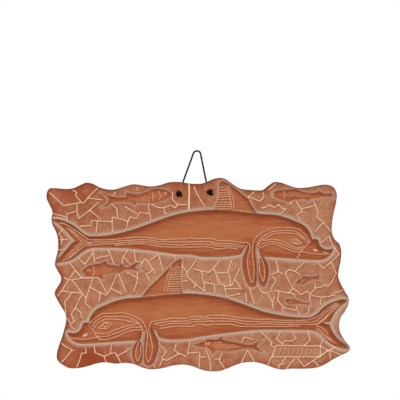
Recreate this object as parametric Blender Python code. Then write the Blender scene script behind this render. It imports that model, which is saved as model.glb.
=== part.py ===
"""A hand-cast terracotta wall plaque: two leaping dolphins and six small fish in low relief
on a ground of cut paving lines, hung from a nail by one knotted black cord.

The origin is where the cord's loop sits on the nail. X runs to the viewer's right, Z up,
and the relief faces -Y. The drawing below is in millimetres on a plaque of the drawn
width, with its own origin in the middle of the plaque, and is scaled to PLAQUE_WIDTH.
"""

import math

import bmesh
import bpy
import numpy as np
from mathutils import Vector
from mathutils.geometry import delaunay_2d_cdt

MM = 0.001

# Driving sizes, in millimetres
PLAQUE_WIDTH = 340.0
GROUND_THICKNESS = 10.0
RIM_RADIUS = 3.0
BACK_CHAMFER = 0.8

# Heights of the relief above the ground, and how wide its sloped sides are
DOLPHIN_WALL = 2.4
DOLPHIN_DOME = 2.4
DOLPHIN_DOME_RUN = 17.0
FIN_WALL = 1.9
FLIPPER_WALL = 3.4
FLIPPER_DOME = 1.0
FLIPPER_DOME_RUN = 6.0
FISH_WALL = 1.3
FISH_DOME = 0.9
FISH_DOME_RUN = 6.0
WALL_RUN = 1.3

# Lines cut into the wet clay
LINE_WIDTH = 1.3
LINE_DEPTH = 0.7
PAVING_WIDTH = 1.5
PAVING_DEPTH = 0.75
STRIPE_PITCH = 2.6
STRIPES = 4
RAY_PITCH = 2.7
RAY_SLOPE = 0.4
RAY_ARC_GAP = 1.6
SHORTEST_RAY = 3.0

# The cord, its holes and its knots
CORD_DIAMETER = 2.0
CORD_ROUNDING = 2
CORD_POINT_STEP = 2.5
HOLE_DIAMETER = 4.2
HOLE_SIDES = 14
KNOT_WIDTH = 6.4
KNOT_DEPTH = 4.6
KNOT_FLAT = 0.45
KNOT_TWIST = 1.1
KNOT_GROOVE = 0.12
KNOT_GROOVES = 2
KNOT_GROOVE_POWER = 4
TOUCH_GAP = 0.3
BACK_GAP = 0.5

# Drawing points of the nail and the holes
NAIL = (-1.0, 138.4)
LEFT_HOLE = (-21.5, 90.8)
RIGHT_HOLE = (13.2, 92.5)

# The cord's route from the nail: across, towards the wall and up. FACE is the clay's face
FACE = None
ROUTE = [
    (-20.5, FACE, -47.6), (-20.5, -7.6, -47.6), (-20.5, -4.2, -47.6), (-20.3, -2.1, -47.1),
    (-19.8, -0.56, -45.7), (-19.2, 0, -43.5), (-16.8, 0, -36.5), (-13, 0, -26),
    (-9.35, 0, -16), (-7.23, 0, -10.2), (-4.23, 0, -1.9), (-3.21, 0, -0.29), (-1.75, 0, 0.68),
    (0, 0, 1), (1.55, 0, 0.68), (2.95, 0, -0.3), (3.95, 0, -2.5), (4.5, 0, -5.3),
    (5.48, 0, -10.2), (7.47, 0, -20), (9.7, 0, -31), (11.3, 0, -37.4), (13, 0, -42),
    (13.7, -0.56, -43.9), (14, -2.1, -45.4), (14.2, -4.2, -45.9), (14.2, -7.6, -45.9),
    (14.2, FACE, -45.9),
]

# The plaque's wavy edge, from the middle of its left side, clockwise
EDGE = [
    (-153.3, -2), (-157, 5), (-160, 11), (-159.5, 17), (-156.9, 26.5), (-156.4, 34),
    (-157, 43), (-159.5, 50), (-163, 57), (-164, 63.5), (-162.8, 70.8), (-165.5, 77.5),
    (-169, 85), (-169.3, 91.5), (-166, 97), (-158, 97.3), (-147, 96.5), (-138.9, 97.7),
    (-131, 101.3), (-124.9, 103.6), (-118, 102.3), (-110, 98.2), (-101, 96),
    (-92.4, 96.2), (-82, 99.3), (-72, 101.8), (-61, 100.3), (-52.5, 99.4), (-43, 100.8),
    (-32.3, 104), (-20.8, 104.4), (-10.4, 102.8), (2, 102.3), (9.6, 104.3), (16, 107.3),
    (24, 109), (31, 107.5), (38.9, 101.9), (46, 97.4), (54, 95.8), (66, 95), (73, 95.6),
    (79, 100.3), (85.2, 104.2), (92, 103.8), (101, 100.8), (110, 98), (122, 98.2),
    (134, 100.4), (143.3, 101.4), (151, 98.8), (155, 92), (154.6, 82), (151.7, 69.3),
    (149.9, 58), (149.8, 48), (153, 40), (158, 35), (160.2, 27), (159.5, 16), (157.5, 6),
    (157, -2), (160, -10), (164.5, -18.5), (168.3, -25), (168.3, -32), (164.5, -40),
    (159.8, -47), (157.7, -56), (159.5, -65), (165, -74), (169.5, -79.5), (169, -84.5),
    (162, -88.6), (152, -93.5), (144, -98.5), (136, -102.3), (128, -104), (116, -104.6),
    (104, -104.5), (95, -105.5), (87, -104.3), (78, -101), (70, -98.4), (61, -97),
    (51, -97.8), (42, -100.4), (32, -104.5), (23, -107.3), (12, -107.3), (3, -105.3),
    (-6, -101.8), (-16, -100), (-28, -101), (-40, -104), (-52, -105.3), (-62, -103.3),
    (-72, -99.3), (-82, -98), (-92, -98.9), (-103, -97.4), (-113, -98.6), (-123, -101.6),
    (-133, -103.7), (-143, -104), (-151, -100.5), (-157, -95), (-158, -88.5), (-156, -80),
    (-152.8, -71), (-149.8, -61), (-147.6, -51), (-148.7, -42.5), (-153, -35),
    (-158, -26.5), (-160.4, -20), (-157.5, -13.5), (-154, -8),
]

# One dolphin, drawn facing right where the upper one lies. An outline is a chain of smooth
# runs that meet in corners. The second dolphin is this one turned to face left, below.
HEAD_RUNS = [
    [(-66.9, 53.3), (-43.8, 61.9), (-20.8, 69.1), (7.2, 73), (22, 73.2), (37.7, 72.3),
     (52, 70.8), (68.1, 69), (85, 67.8), (98, 64.8), (108, 60.8), (116.5, 57), (122.3, 52),
     (125.8, 46), (127.4, 40.2)],
    [(127.4, 40.2), (129.5, 41), (132.6, 40.7)],
    [(132.6, 40.7), (134.5, 38.3), (135.3, 35.5), (137, 32.3), (140, 30), (144, 29),
     (148.2, 29.7), (151.7, 29.6)],
]
CHIN = [
    (151.7, 29.6), (150, 26), (146, 21), (139.6, 17.5), (129.2, 16.9), (109.3, 18.2),
    (85, 19.9), (74, 20.4), (69, 21),
]
FLIPPER_NOTCH = [
    [(69, 21), (68.4, 25), (66.8, 29.5), (63, 32.5)],
    [(63, 32.5), (55, 33.5)],
    [(55, 33.5), (51.7, 30.5), (49.9, 26.3), (47.2, 22.9)],
]
UPPER_REAR = [
    [(47.2, 22.9), (42, 22.1), (30, 20.6), (10, 20.2), (0, 21), (-8, 22.8), (-25, 23.5),
     (-40, 25.5), (-60, 28), (-85, 30.2), (-103, 30.5), (-118, 30.2), (-127.8, 26.5),
     (-135.2, 20.6), (-143.3, 16.2), (-152.9, 14), (-159.1, 13.2)],
    [(-159.1, 13.2), (-157.5, 17), (-152.9, 22.5), (-147, 29.5), (-141.5, 35.5),
     (-137.5, 38.5)],
    [(-137.5, 38.5), (-142, 43.3), (-150, 51.7), (-155, 56.3), (-163.2, 62)],
    [(-163.2, 62), (-158, 62.7), (-150, 60.8), (-144, 58.5), (-140, 56.6), (-135, 52.8),
     (-130, 48.6), (-125, 45.2), (-120, 43.9), (-105, 44.4), (-90, 46.9), (-78.5, 49.8),
     (-66.9, 53.3)],
]
LOWER_REAR = [
    [(47.2, 22.9), (35, 21.5), (15, 22.3), (5, 24.3), (-5, 25.8), (-15, 27.3), (-40, 30.3),
     (-60, 32.2), (-85, 32.3), (-110, 32.2), (-121, 31.9), (-129, 28.8), (-134, 24.3),
     (-140, 18.8), (-146, 14.8), (-153, 12.3), (-160, 10.8), (-163, 11.2)],
    [(-163, 11.2), (-161, 15), (-157, 18.3), (-152, 21.8), (-148, 26.3), (-144, 32.3),
     (-141.9, 38), (-137.9, 39.3), (-133.9, 40.6)],
    [(-133.9, 40.6), (-137.9, 40.9), (-141.4, 41), (-143.4, 43.3), (-147, 50.3), (-153, 58),
     (-159, 62.3), (-162, 65)],
    [(-162, 65), (-158, 66.8), (-152, 66.3), (-145, 63.8), (-138, 60.3), (-133, 56.3),
     (-128, 51.3), (-122, 47.5), (-115, 46.3), (-105, 46.8), (-95, 47.8), (-85, 49.3),
     (-66.9, 53.3)],
]
UPPER_FIN = [
    [(17.5, 66), (19.4, 78.4), (22.7, 85.8), (23.3, 95), (23.6, 104)],
    [(23.6, 104), (28.5, 105.4), (38.9, 99.2), (49.8, 90.6), (56, 85.5), (58.7, 80.5),
     (62.2, 75), (66.5, 68)],
    [(66.5, 68), (17.5, 66)],
]
LOWER_FIN = [
    [(19, 66), (23.9, 80), (24.3, 95), (22.7, 112.5)],
    [(22.7, 112.5), (30.2, 109.3), (40.2, 99.8), (50.2, 89.3), (60.2, 79.8), (69, 68)],
    [(69, 68), (19, 66)],
]
LONG_FLIPPER = [[
    (60.5, 38), (57, 37), (54.2, 31), (52.3, 26), (50.3, 22), (49.3, 17), (49.3, 10),
    (50.5, 3), (52.5, -4), (55, -10), (58, -12.8), (61, -13.5), (64, -12), (65.3, -8),
    (65.5, 0), (65.5, 10), (65.2, 18), (64.5, 26), (63.8, 33), (60.5, 38),
]]
SHORT_FLIPPER = [[
    (71.5, 21), (74.5, 18.5), (77, 14.5), (78.7, 9), (79, 2), (77.8, -5), (75.8, -10),
    (73.2, -13.3), (70.5, -12), (68, -8), (66.9, -2), (66.9, 5), (67.3, 12), (68.8, 18),
    (71.5, 21),
]]
FLIPPER_ROOT = 18.0
LOWER_FLIPPER_SHARE = 0.82

# Lines cut into both dolphins
FACE_LINES = [
    [(116.5, 25.8), (126, 24), (138, 23.3), (147, 24.4)],
    [(126.3, 37.6), (121.8, 33.3), (118, 28.2), (114.5, 23.5), (111.2, 19.6)],
    [(60.2, -7.8), (62.3, 0), (62.3, 8), (61.5, 15), (60.8, 30), (61, 36.6), (63.1, 40.5),
     (72.9, 48.9), (86.7, 53.1), (104.3, 53.1), (112.9, 51), (120, 45.2), (124.5, 38.5)],
    [(64.7, 18), (64.5, 26), (68.4, 38.2), (80.5, 47.2), (90.5, 49), (104.8, 49),
     (111.6, 46.4), (122.9, 36.9)],
    [(67, 34.5), (71.4, 39.2), (79, 43.8), (88.6, 46), (102.9, 46), (120.5, 36.2)],
    [(72.5, 38.9), (79, 39.4), (88, 38.7), (97.6, 34.9), (105.7, 31), (112.4, 29.5),
     (119.5, 30)],
    [(66.7, 32.6), (71.4, 35.4), (80, 36.5), (89, 34.2), (97.6, 30.9), (106.2, 27.9),
     (115.9, 27.3)],
    [(67.1, 29.9), (74.8, 32.6), (82.4, 33.7), (91, 31.2), (100, 27.4), (105.2, 25),
     (113, 24)],
    [(57.9, 32), (57.6, 27.5), (56.1, 21), (55.6, 12), (56.2, 5.5), (57.6, -1), (60.2, -7.8)],
    [(69, 17), (68.7, 8), (69.8, 0), (72.2, -6.6)],
    [(71, 19), (74, 9), (74.1, 0), (72.2, -6.6)],
    [(102.9, 37.4), (107, 40.4), (111, 40.2), (114.9, 35.9)],
    [(102.9, 37.4), (107, 35.4), (111, 34.4), (114.9, 35.9)],
]
UPPER_STRIPE = [
    (-119.6, 39.8), (-104, 39.8), (-88, 40.9), (-74, 42.5), (-66, 43.1), (-54, 42.1),
    (-42, 40), (-36, 39.8), (-9, 42), (-4, 41.1), (15, 41), (24, 38.7), (37, 38.6),
    (48.5, 36.8),
]
LOWER_STRIPE = [
    (-125.6, 46.1), (-119.9, 44.7), (-112.9, 43.6), (-84.9, 43.6), (-73.9, 44.7),
    (-58.9, 44.8), (-47.9, 45.9), (-37.9, 46.7), (-26.9, 48.8), (-9.9, 49), (0.2, 47),
    (9.2, 47.8), (19.2, 45.6), (35.7, 45.8), (40.2, 44.6), (48.5, 43.4),
]
UPPER_TAIL_LINES = [
    [(48.5, 36.8), (54.5, 36.7), (57.2, 35.4), (57.9, 32)],
    [(-154.6, 58.7), (-143.1, 54.5), (-133.1, 48), (-124.6, 41.5), (-119.6, 39.8)],
    [(-145.6, 52.7), (-134.6, 42.7), (-128.8, 37.5)],
    [(-128.8, 37.5), (-139.6, 28.2), (-147.6, 20.2)],
    [(-119.6, 35.5), (-127.6, 35.2), (-136.6, 27.7), (-143.6, 20.7)],
    [(-124.6, 33.2), (-134.6, 27.2), (-142.6, 20.2), (-150.6, 17.2)],
]
LOWER_TAIL_LINES = [
    [(48.5, 43.4), (54.2, 42.7), (57.2, 42.1), (58.8, 38.7), (59.2, 35.5), (57.9, 32)],
    [(-125.6, 46.1), (-133, 51), (-139.6, 57.3), (-145.6, 60.3)],
    [(-122.8, 42.1), (-131.2, 46.6), (-137.7, 52.6), (-145.2, 57.8)],
    [(-127, 39.1), (-134.9, 43.3), (-142, 50.3), (-149.4, 57.3)],
    [(-127, 38.2), (-133, 34.9), (-139.6, 28.4)],
    [(-127.4, 35.4), (-133.5, 30.2), (-143.3, 22.3)],
    [(-125.6, 33.5), (-131.2, 29.1), (-137.7, 23.7), (-148.9, 17.6)],
]
UPPER_ARCS = [
    [(36.9, 75.5), (36.6, 82), (35.8, 87.5), (32, 99)],
    [(39.9, 75.5), (39, 86.5), (36, 95.5), (33.5, 100)],
]
LOWER_ARCS = [
    [(39.4, 75.3), (38, 84.3), (36, 93.8), (32.5, 101.8)],
    [(42.7, 75.3), (41, 88.8), (37, 98.8), (34.5, 103.8)],
]
RAY_LEFT = 24.4
RAY_FROM = 77.0
RAY_TO = 101.0

# Where the second dolphin lies: x becomes TURN_X - x, and z drops by TURN_DROP
TURN_X = 5.15
TURN_DROP = 93.3

# The six small fish
FISH = {
    "top_left": [
        [(-109.5, 93), (-106, 92.5), (-98, 88.6), (-88, 86.9), (-81, 87.4)],
        [(-81, 87.4), (-79.4, 93.3)],
        [(-79.4, 93.3), (-73, 91), (-64, 91), (-57, 93.8), (-50, 96.7), (-38, 96),
         (-30.5, 92.3), (-30, 89), (-30.8, 86.8)],
        [(-30.8, 86.8), (-38, 83.8), (-48, 80.8), (-60, 80.3), (-68.5, 80.3)],
        [(-68.5, 80.3), (-71, 77.8)],
        [(-71, 77.8), (-74.5, 80.5), (-86, 81.8), (-96, 80.5), (-102, 76.6), (-109, 75.8)],
        [(-109, 75.8), (-104, 78.5), (-99.5, 84), (-104, 89.5), (-109.5, 93)],
    ],
    "top_right": [
        [(85.8, 90), (83, 91.5), (86, 93.8), (90.9, 95.3), (98, 95.8), (104, 96.4),
         (109, 96.6), (112.5, 95), (119, 93.2), (126.3, 92.1), (132, 92.7), (135.9, 94.9)],
        [(135.9, 94.9), (138.5, 92), (144, 91.4), (152.5, 92.5)],
        [(152.5, 92.5), (149.3, 90.2), (153.2, 85.6)],
        [(153.2, 85.6), (147, 87.4), (140, 87.2), (131, 86.3), (125.8, 85.3), (123, 82.4)],
        [(123, 82.4), (119.5, 84.6), (112, 84.6), (104.5, 83.5), (101.2, 80.3)],
        [(101.2, 80.3), (98, 82.8), (92, 84.5), (88, 86), (83, 88.7)],
        [(83, 88.7), (85.8, 90)],
    ],
    "middle_left": [
        [(-131, 3), (-127, 7.5), (-122, 10.8), (-116, 12.2), (-109, 13.3), (-105.5, 15.4),
         (-102, 16.6)],
        [(-102, 16.6), (-101, 12.6), (-95, 11.6), (-90, 10.6), (-86.5, 12.2), (-83.4, 13.8)],
        [(-83.4, 13.8), (-83, 9.8), (-79, 8.8), (-75, 10.6), (-70.5, 13.6), (-63.5, 15)],
        [(-63.5, 15), (-68, 11.3), (-69.6, 8.2), (-62.5, 4.6)],
        [(-62.5, 4.6), (-68, 5), (-76, 6.2), (-83, 5.8), (-86, 3.2), (-95, 1.8), (-107, 0.6)],
        [(-107, 0.6), (-105.6, -2), (-105.4, -4.8)],
        [(-105.4, -4.8), (-109.5, -3.3), (-113, -1.9), (-121, -1.6), (-128.5, -0.4)],
        [(-128.5, -0.4), (-127.2, 1), (-125.6, 1.9), (-131, 3)],
    ],
    "middle_right": [
        [(107.5, -10), (110, -6.8), (113.5, -3.8), (118.5, -0.8), (122, -1.4), (131, -0.7),
         (136.6, 1.9)],
        [(136.6, 1.9), (135, -2.8), (137, -5)],
        [(137, -5), (131, -4.6), (127, -5.6), (124, -7.4), (120.5, -7.9), (118.6, -10.8)],
        [(118.6, -10.8), (113, -9.6), (107.5, -10)],
    ],
    "lower_right": [
        [(96.8, -27.4), (100, -26), (107, -26.6), (113, -28.2), (119, -30.2), (126, -31)],
        [(126, -31), (123.6, -32.6), (125.6, -34.2)],
        [(125.6, -34.2), (118, -32.4), (110, -32.2), (102, -32), (98, -30.4), (96.8, -27.4)],
    ],
    "bottom": [
        [(-6, -76.8), (0, -76.2), (2.5, -74.6), (5, -74.2), (8.5, -71.8), (14, -71.2),
         (21, -71.5), (25, -69), (29.5, -67.8)],
        [(29.5, -67.8), (27, -71), (33, -73), (41, -74.2), (48, -76), (55, -77.2),
         (61, -76.8), (66, -74.4), (75, -71.3)],
        [(75, -71.3), (69.5, -75), (65.5, -79.6), (69.5, -83), (75.5, -86)],
        [(75.5, -86), (68, -85), (60, -82.3), (50, -82.5), (40, -84.3), (30, -85),
         (20.5, -84.4), (16.5, -88.8)],
        [(16.5, -88.8), (14, -83.8), (10, -81.4), (3, -80.4), (-2.5, -79.4), (-6, -76.8)],
    ],
}
FISH_LINES = [
    [(-51.5, 93), (-49.8, 88), (-50.5, 83)],
    [(-44, 94), (-42, 89), (-43, 84)],
    [(95, 94), (97, 90), (96, 85.5)],
    [(-117.5, 10), (-115.8, 6), (-116, 2), (-117.3, -0.6)],
    [(8.3, -73.6), (9, -78), (10.2, -82.6)],
    [(115.5, -3.6), (116.6, -6), (115.8, -8.6)],
    [(102.6, -27.4), (103.4, -29.4), (102.8, -31)],
]

# The plainest lines of the paving, cut between the figures
PAVING = [
    [(-166, 91), (-150.3, 78.1), (-139.6, 79.6), (-130, 81.4)],
    [(-140.3, 95), (-136.7, 89.2), (-127.1, 80.7), (-112, 96)],
    [(-135.2, 80.3), (-133, 64.1), (-120.8, 72.6), (-110.1, 80.7)],
    [(-131.5, 54.2), (-120.4, 55.6), (-118.6, 60.8), (-96.1, 60.1), (-79, 60.5)],
    [(-120.8, 72.2), (-108.6, 62.3)],
    [(-96.8, 78.9), (-89.8, 64.9)],
    [(-79.9, 51.5), (-75.9, 65.4), (-65.8, 70), (-55.4, 69.1)],
    [(-55.1, 78), (-52.2, 61.3)],
    [(-52.5, 78.6), (-38.1, 75.2), (-32.3, 78.1), (-25.4, 74.3), (-12.7, 78.6)],
    [(-10.1, 101), (-10.4, 73.5)],
    [(-5.2, 98.8), (8.1, 76)],
    [(62.6, 93.7), (55.9, 86.5), (68.7, 83), (73.6, 87.6), (72.4, 92.5)],
    [(79.1, 94.9), (87, 102.2)],
    [(70, 75.4), (80.3, 79), (85.2, 75.7), (90.9, 79.6), (98.3, 74.4), (92, 68.5)],
    [(110.4, 82.6), (116.7, 70.4), (110.4, 67.8), (114.5, 60.4)],
    [(129.2, 84), (134.4, 71.5), (132.2, 65.6), (148, 49)],
    [(137.4, 36.1), (147.7, 43.8), (157.6, 23.6), (139.6, 7.7), (133.7, 14.7)],
    [(118.9, 14.7), (109.3, 5.1), (97.5, 2.5)],
    [(-133.7, 19.9), (-125.6, 11.8), (-117.5, 24.7), (-115.6, 14)],
    [(-115.3, 18.4), (-99.8, 22.1)],
    [(-100.5, 28.7), (-93, 12.8)],
    [(-142, 12), (-130, -2.5)],
    [(-137.5, 5), (-149, -12), (-156, -22)],
    [(-142, -5), (-130, -3), (-112, -2.6), (-101.5, -21.5), (-90, 0)],
    [(-141, -5), (-125.5, -25), (-125.5, -30), (-120, -36.5)],
    [(-118.5, -3), (-124.5, -25)],
    [(-89, 0), (-80, -20)],
    [(-151.5, -17), (-130, -19.5)],
    [(-141, -19.5), (-149, -29.5), (-146, -46), (-140, -53.5), (-141.5, -43.5),
     (-137, -36), (-130, -21)],
    [(-77, 28.5), (-84, 18), (-84.4, 15)],
    [(-71, 27.5), (-70, 15.4)],
    [(-60, 19), (-50, 7), (-48, 2)],
    [(-55, 16), (-44.5, 23), (-39, 5)],
    [(-67.5, 2.5), (-67.5, -2), (-71.5, -18.5)],
    [(-19, 14), (-12.5, 4), (-2, 17)],
    [(-12.5, 4), (-12, 0), (7, -16.5)],
    [(-5, 8), (12, 3), (24, 16.5)],
    [(4, 5), (7, -9), (7.5, -17.5)],
    [(8, -9), (18, -10), (19, -19.5)],
    [(17.5, 8), (24, -9), (29, -11), (33, -23), (47, -20), (72, -19.5)],
    [(21, 1.5), (33, 3), (36.5, -10.5)],
    [(33, 3), (38, 17)],
    [(66, -11), (72, -19.5), (84, -29), (84, -37.5)],
    [(98, 3), (106, -15), (115, -21.5), (125, -20.5), (131, -14.5), (145, -12), (154, 0)],
    [(90, -18), (95, -35), (94, -42.5)],
    [(-151, -76), (-139, -84)],
    [(-140, -83.5), (-152, -96)],
    [(-126, -81), (-130, -87), (-134.5, -101)],
    [(-116, -78), (-115, -85), (-104, -90), (-93, -86.5), (-87, -96)],
    [(-43, -76), (-35.5, -85), (-41.5, -91), (-22, -88), (-12, -89.5)],
    [(-11, -88.5), (-8.5, -73)],
    [(14, -104), (14, -94), (10, -83)],
    [(1, -101), (2, -86)],
    [(29, -103), (24, -92)],
    [(48, -96), (56.5, -83.5), (64, -95)],
    [(70, -63), (83, -75), (85, -81), (78.5, -98)],
    [(105, -64), (110, -70), (103, -76)],
    [(122, -63), (125, -69), (119, -77.5)],
    [(98, -102.5), (109.5, -92.5), (118.5, -102)],
    [(118.5, -102), (145, -84.5), (160, -88)],
]
PANEL_LINES = [
    [(87.5, -78.4), (138, -78.8)],
    [(83, -91), (137, -91)],
    [(87.5, -78.4), (82.8, -91)],
    [(136.8, -79), (136.8, -91)],
]

# How closely the outlines are followed, in millimetres
EDGE_STEP = 7.5
FIGURE_STEP = 7.5
FISH_STEP = 5.0
LINE_STEP = 11.0
ARC_STEP = 1.0
BACK_STEP = 45.0
BACK_CLEARANCE = 9.0
WELD = 0.12

# Rows of points that carry the curve of the rim and of the bodies, as shares of its width,
# and how much of its own inset a row has to keep from the outline
RIM_ROWS = (0.35, 1.0)
DOME_ROWS = (0.3, 0.75)
INSET_KEPT = 0.9
SHARP_ANGLE = 50.0
KNOT_SUBDIVISIONS = 3


def smooth(points, step, closed=False):
    """Points about a step apart along a Catmull-Rom curve through the given ones."""
    knots = [np.array(point, float) for point in points]
    count = len(knots)
    spans = count if closed else count - 1
    curve = []
    for index in range(spans):
        if closed:
            before, start, end, after = (knots[(index + k) % count] for k in (-1, 0, 1, 2))
        else:
            before = knots[max(index - 1, 0)]
            start, end = knots[index], knots[index + 1]
            after = knots[min(index + 2, count - 1)]
        pieces = max(1, round(float(np.linalg.norm(end - start)) / step))
        for piece in range(pieces):
            t = piece / pieces
            curve.append(0.5 * (
                2 * start + (end - before) * t
                + (2 * before - 5 * start + 4 * end - after) * t * t
                + (3 * start - before - 3 * end + after) * t ** 3))
    if not closed:
        curve.append(knots[-1])
    return np.array(curve)


def outline(runs, step=FIGURE_STEP):
    """A closed outline from smooth runs that meet in corners."""
    return np.concatenate([smooth(run, step)[:-1] for run in runs])


def turned(points):
    """The place of a dolphin's point on the lower dolphin."""
    return [(TURN_X - x, z - TURN_DROP) for x, z in points]


def shortened(points, share):
    """Flipper points with the part below the root shortened."""
    return [(x, z if z > FLIPPER_ROOT else FLIPPER_ROOT + (z - FLIPPER_ROOT) * share)
            for x, z in points]


def fin_rays(arc):
    """The comb of rays between the fin's straight edge and its first arc."""
    rays = []
    arc_points = smooth(arc, ARC_STEP)
    for row in range(int((RAY_TO - RAY_FROM) / RAY_PITCH) + 1):
        z = RAY_FROM + row * RAY_PITCH
        end = arc_points[np.argmin(np.abs(arc_points[:, 1] - z))][0] - RAY_ARC_GAP
        if end - RAY_LEFT > SHORTEST_RAY:
            rays.append([(RAY_LEFT, z), (end, z + RAY_SLOPE)])
    return rays


def stripes(top, count=STRIPES):
    """The bundle of body stripes, below its top line."""
    return [[(x, z - STRIPE_PITCH * row) for x, z in top] for row in range(count)]


def dolphin(rear, fin, tail_lines, stripe, arcs, share, place):
    """Outlines and cut lines of one dolphin, put in its place."""
    def put(runs):
        return outline([place(run) for run in runs])
    body = put(HEAD_RUNS + [CHIN] + FLIPPER_NOTCH + rear)
    flippers = [put([shortened(run, share) for run in runs])
                for runs in (LONG_FLIPPER, SHORT_FLIPPER)]
    lines = [smooth(place(shortened(line, share)), LINE_STEP)
             for line in FACE_LINES + tail_lines + arcs + stripes(stripe)]
    lines += [np.array(place(ray)) for ray in fin_rays(arcs[0])]
    return {"body": body, "fin": put(fin), "flippers": flippers, "lines": lines}


def same(points):
    """The place of a dolphin's point on the upper dolphin, which is where it is drawn."""
    return list(points)


def drawing():
    """Everything on the plaque's face, in drawing millimetres."""
    upper = dolphin(UPPER_REAR, UPPER_FIN, UPPER_TAIL_LINES, UPPER_STRIPE, UPPER_ARCS,
                    1.0, same)
    lower = dolphin(LOWER_REAR, LOWER_FIN, LOWER_TAIL_LINES, LOWER_STRIPE, LOWER_ARCS,
                    LOWER_FLIPPER_SHARE, turned)
    dolphins = (upper, lower)
    return {
        "edge": smooth(EDGE, EDGE_STEP, closed=True),
        "bodies": [one["body"] for one in dolphins],
        "fins": [one["fin"] for one in dolphins],
        "flippers": [flipper for one in dolphins for flipper in one["flippers"]],
        "fish": [outline(runs, FISH_STEP) for runs in FISH.values()],
        "lines": upper["lines"] + lower["lines"]
        + [smooth(line, LINE_STEP) for line in FISH_LINES],
        "paving": [np.array(line, float) for line in PAVING + PANEL_LINES],
    }


def scaled(value, factor):
    """Every drawn point times the factor."""
    if isinstance(value, dict):
        return {name: scaled(part, factor) for name, part in value.items()}
    if isinstance(value, list):
        return [scaled(part, factor) for part in value]
    return value * factor


def segments_of(lines, closed=False):
    """Starts and ends of all straight pieces of the lines."""
    starts = [line if closed else line[:-1] for line in lines]
    ends = [np.roll(line, -1, axis=0) if closed else line[1:] for line in lines]
    return np.concatenate(starts), np.concatenate(ends)


def distance(points, lines, closed=False):
    """Distance from each point to the nearest of the lines."""
    starts, ends = segments_of(lines, closed)
    along = ends - starts
    length_squared = np.maximum((along ** 2).sum(axis=1), 1e-12)
    nearest = np.full(len(points), 1e9)
    for start, step, size in zip(starts, along, length_squared):
        offset = points - start
        share = np.clip(offset @ step / size, 0, 1)
        gap = offset - share[:, None] * step
        nearest = np.minimum(nearest, np.hypot(gap[:, 0], gap[:, 1]))
    return nearest


def inside(points, loop):
    """Whether each point lies inside a closed outline."""
    within = np.zeros(len(points), bool)
    x, z = points[:, 0], points[:, 1]
    for (x0, z0), (x1, z1) in zip(loop, np.roll(loop, -1, axis=0)):
        if z0 == z1:
            continue
        crosses = (z0 > z) != (z1 > z)
        within ^= crosses & (x < (x1 - x0) * (z - z0) / (z1 - z0) + x0)
    return within


def raised(points, loop, wall, dome=0.0, dome_run=1.0):
    """Height of one raised figure: a steep side, then a dome over its middle."""
    depth = np.where(inside(points, loop), distance(points, [loop], True), 0.0)
    side = np.clip(depth / WALL_RUN, 0, 1)
    rise = 1 - np.clip(depth / dome_run, 0, 1)
    return wall * side * (2 - side) + dome * np.sqrt(1 - rise ** 2)


def cut(points, lines, width, deep):
    """Depth of the V-shaped lines at each point."""
    return deep * np.clip(1 - distance(points, lines) / (width / 2), 0, 1)


def face_height(points, art):
    """Height of the plaque's face above its flat back."""
    relief = np.zeros(len(points))
    for loop in art["bodies"]:
        relief = np.maximum(relief, raised(
            points, loop, DOLPHIN_WALL, DOLPHIN_DOME, DOLPHIN_DOME_RUN))
    for loop in art["fins"]:
        relief = np.maximum(relief, raised(points, loop, FIN_WALL))
    for loop in art["flippers"]:
        relief = np.maximum(relief, raised(
            points, loop, FLIPPER_WALL, FLIPPER_DOME, FLIPPER_DOME_RUN))
    for loop in art["fish"]:
        relief = np.maximum(relief, raised(
            points, loop, FISH_WALL, FISH_DOME, FISH_DOME_RUN))
    relief -= cut(points, art["lines"], LINE_WIDTH, LINE_DEPTH)
    on_ground = np.clip(1 - relief / FISH_WALL, 0, 1)
    relief -= cut(points, art["paving"], PAVING_WIDTH, PAVING_DEPTH) * on_ground
    short = 1 - np.clip(distance(points, [art["edge"]], True) / RIM_RADIUS, 0, 1)
    return GROUND_THICKNESS + relief - RIM_RADIUS * (1 - np.sqrt(1 - short ** 2))


def sideways(loop):
    """Unit vectors pointing out of a closed outline, one at each of its points."""
    along = np.roll(loop, -1, axis=0) - np.roll(loop, 1, axis=0)
    normal = np.stack([-along[:, 1], along[:, 0]], axis=1)
    normal /= np.maximum(np.hypot(normal[:, 0], normal[:, 1]), 1e-9)[:, None]
    area = (loop[:, 0] * np.roll(loop[:, 1], -1) - np.roll(loop[:, 0], -1) * loop[:, 1]).sum()
    return normal if area < 0 else -normal


def stroke(line, width):
    """The outer edge of a cut line: its two sides and its two ends."""
    along = np.gradient(line, axis=0)
    along /= np.hypot(along[:, 0], along[:, 1])[:, None]
    across = np.stack([-along[:, 1], along[:, 0]], axis=1) * width / 2
    tip = along[-1] * width / 2
    tail = along[0] * width / 2
    return np.concatenate([
        line + across, [line[-1] + tip], (line - across)[::-1], [line[0] - tail]])


def circle(centre, radius, sides):
    """A ring of points round a centre."""
    angles = [2 * math.pi * side / sides for side in range(sides)]
    return np.array([(centre[0] + radius * math.cos(angle),
                      centre[1] + radius * math.sin(angle)) for angle in angles])


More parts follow.
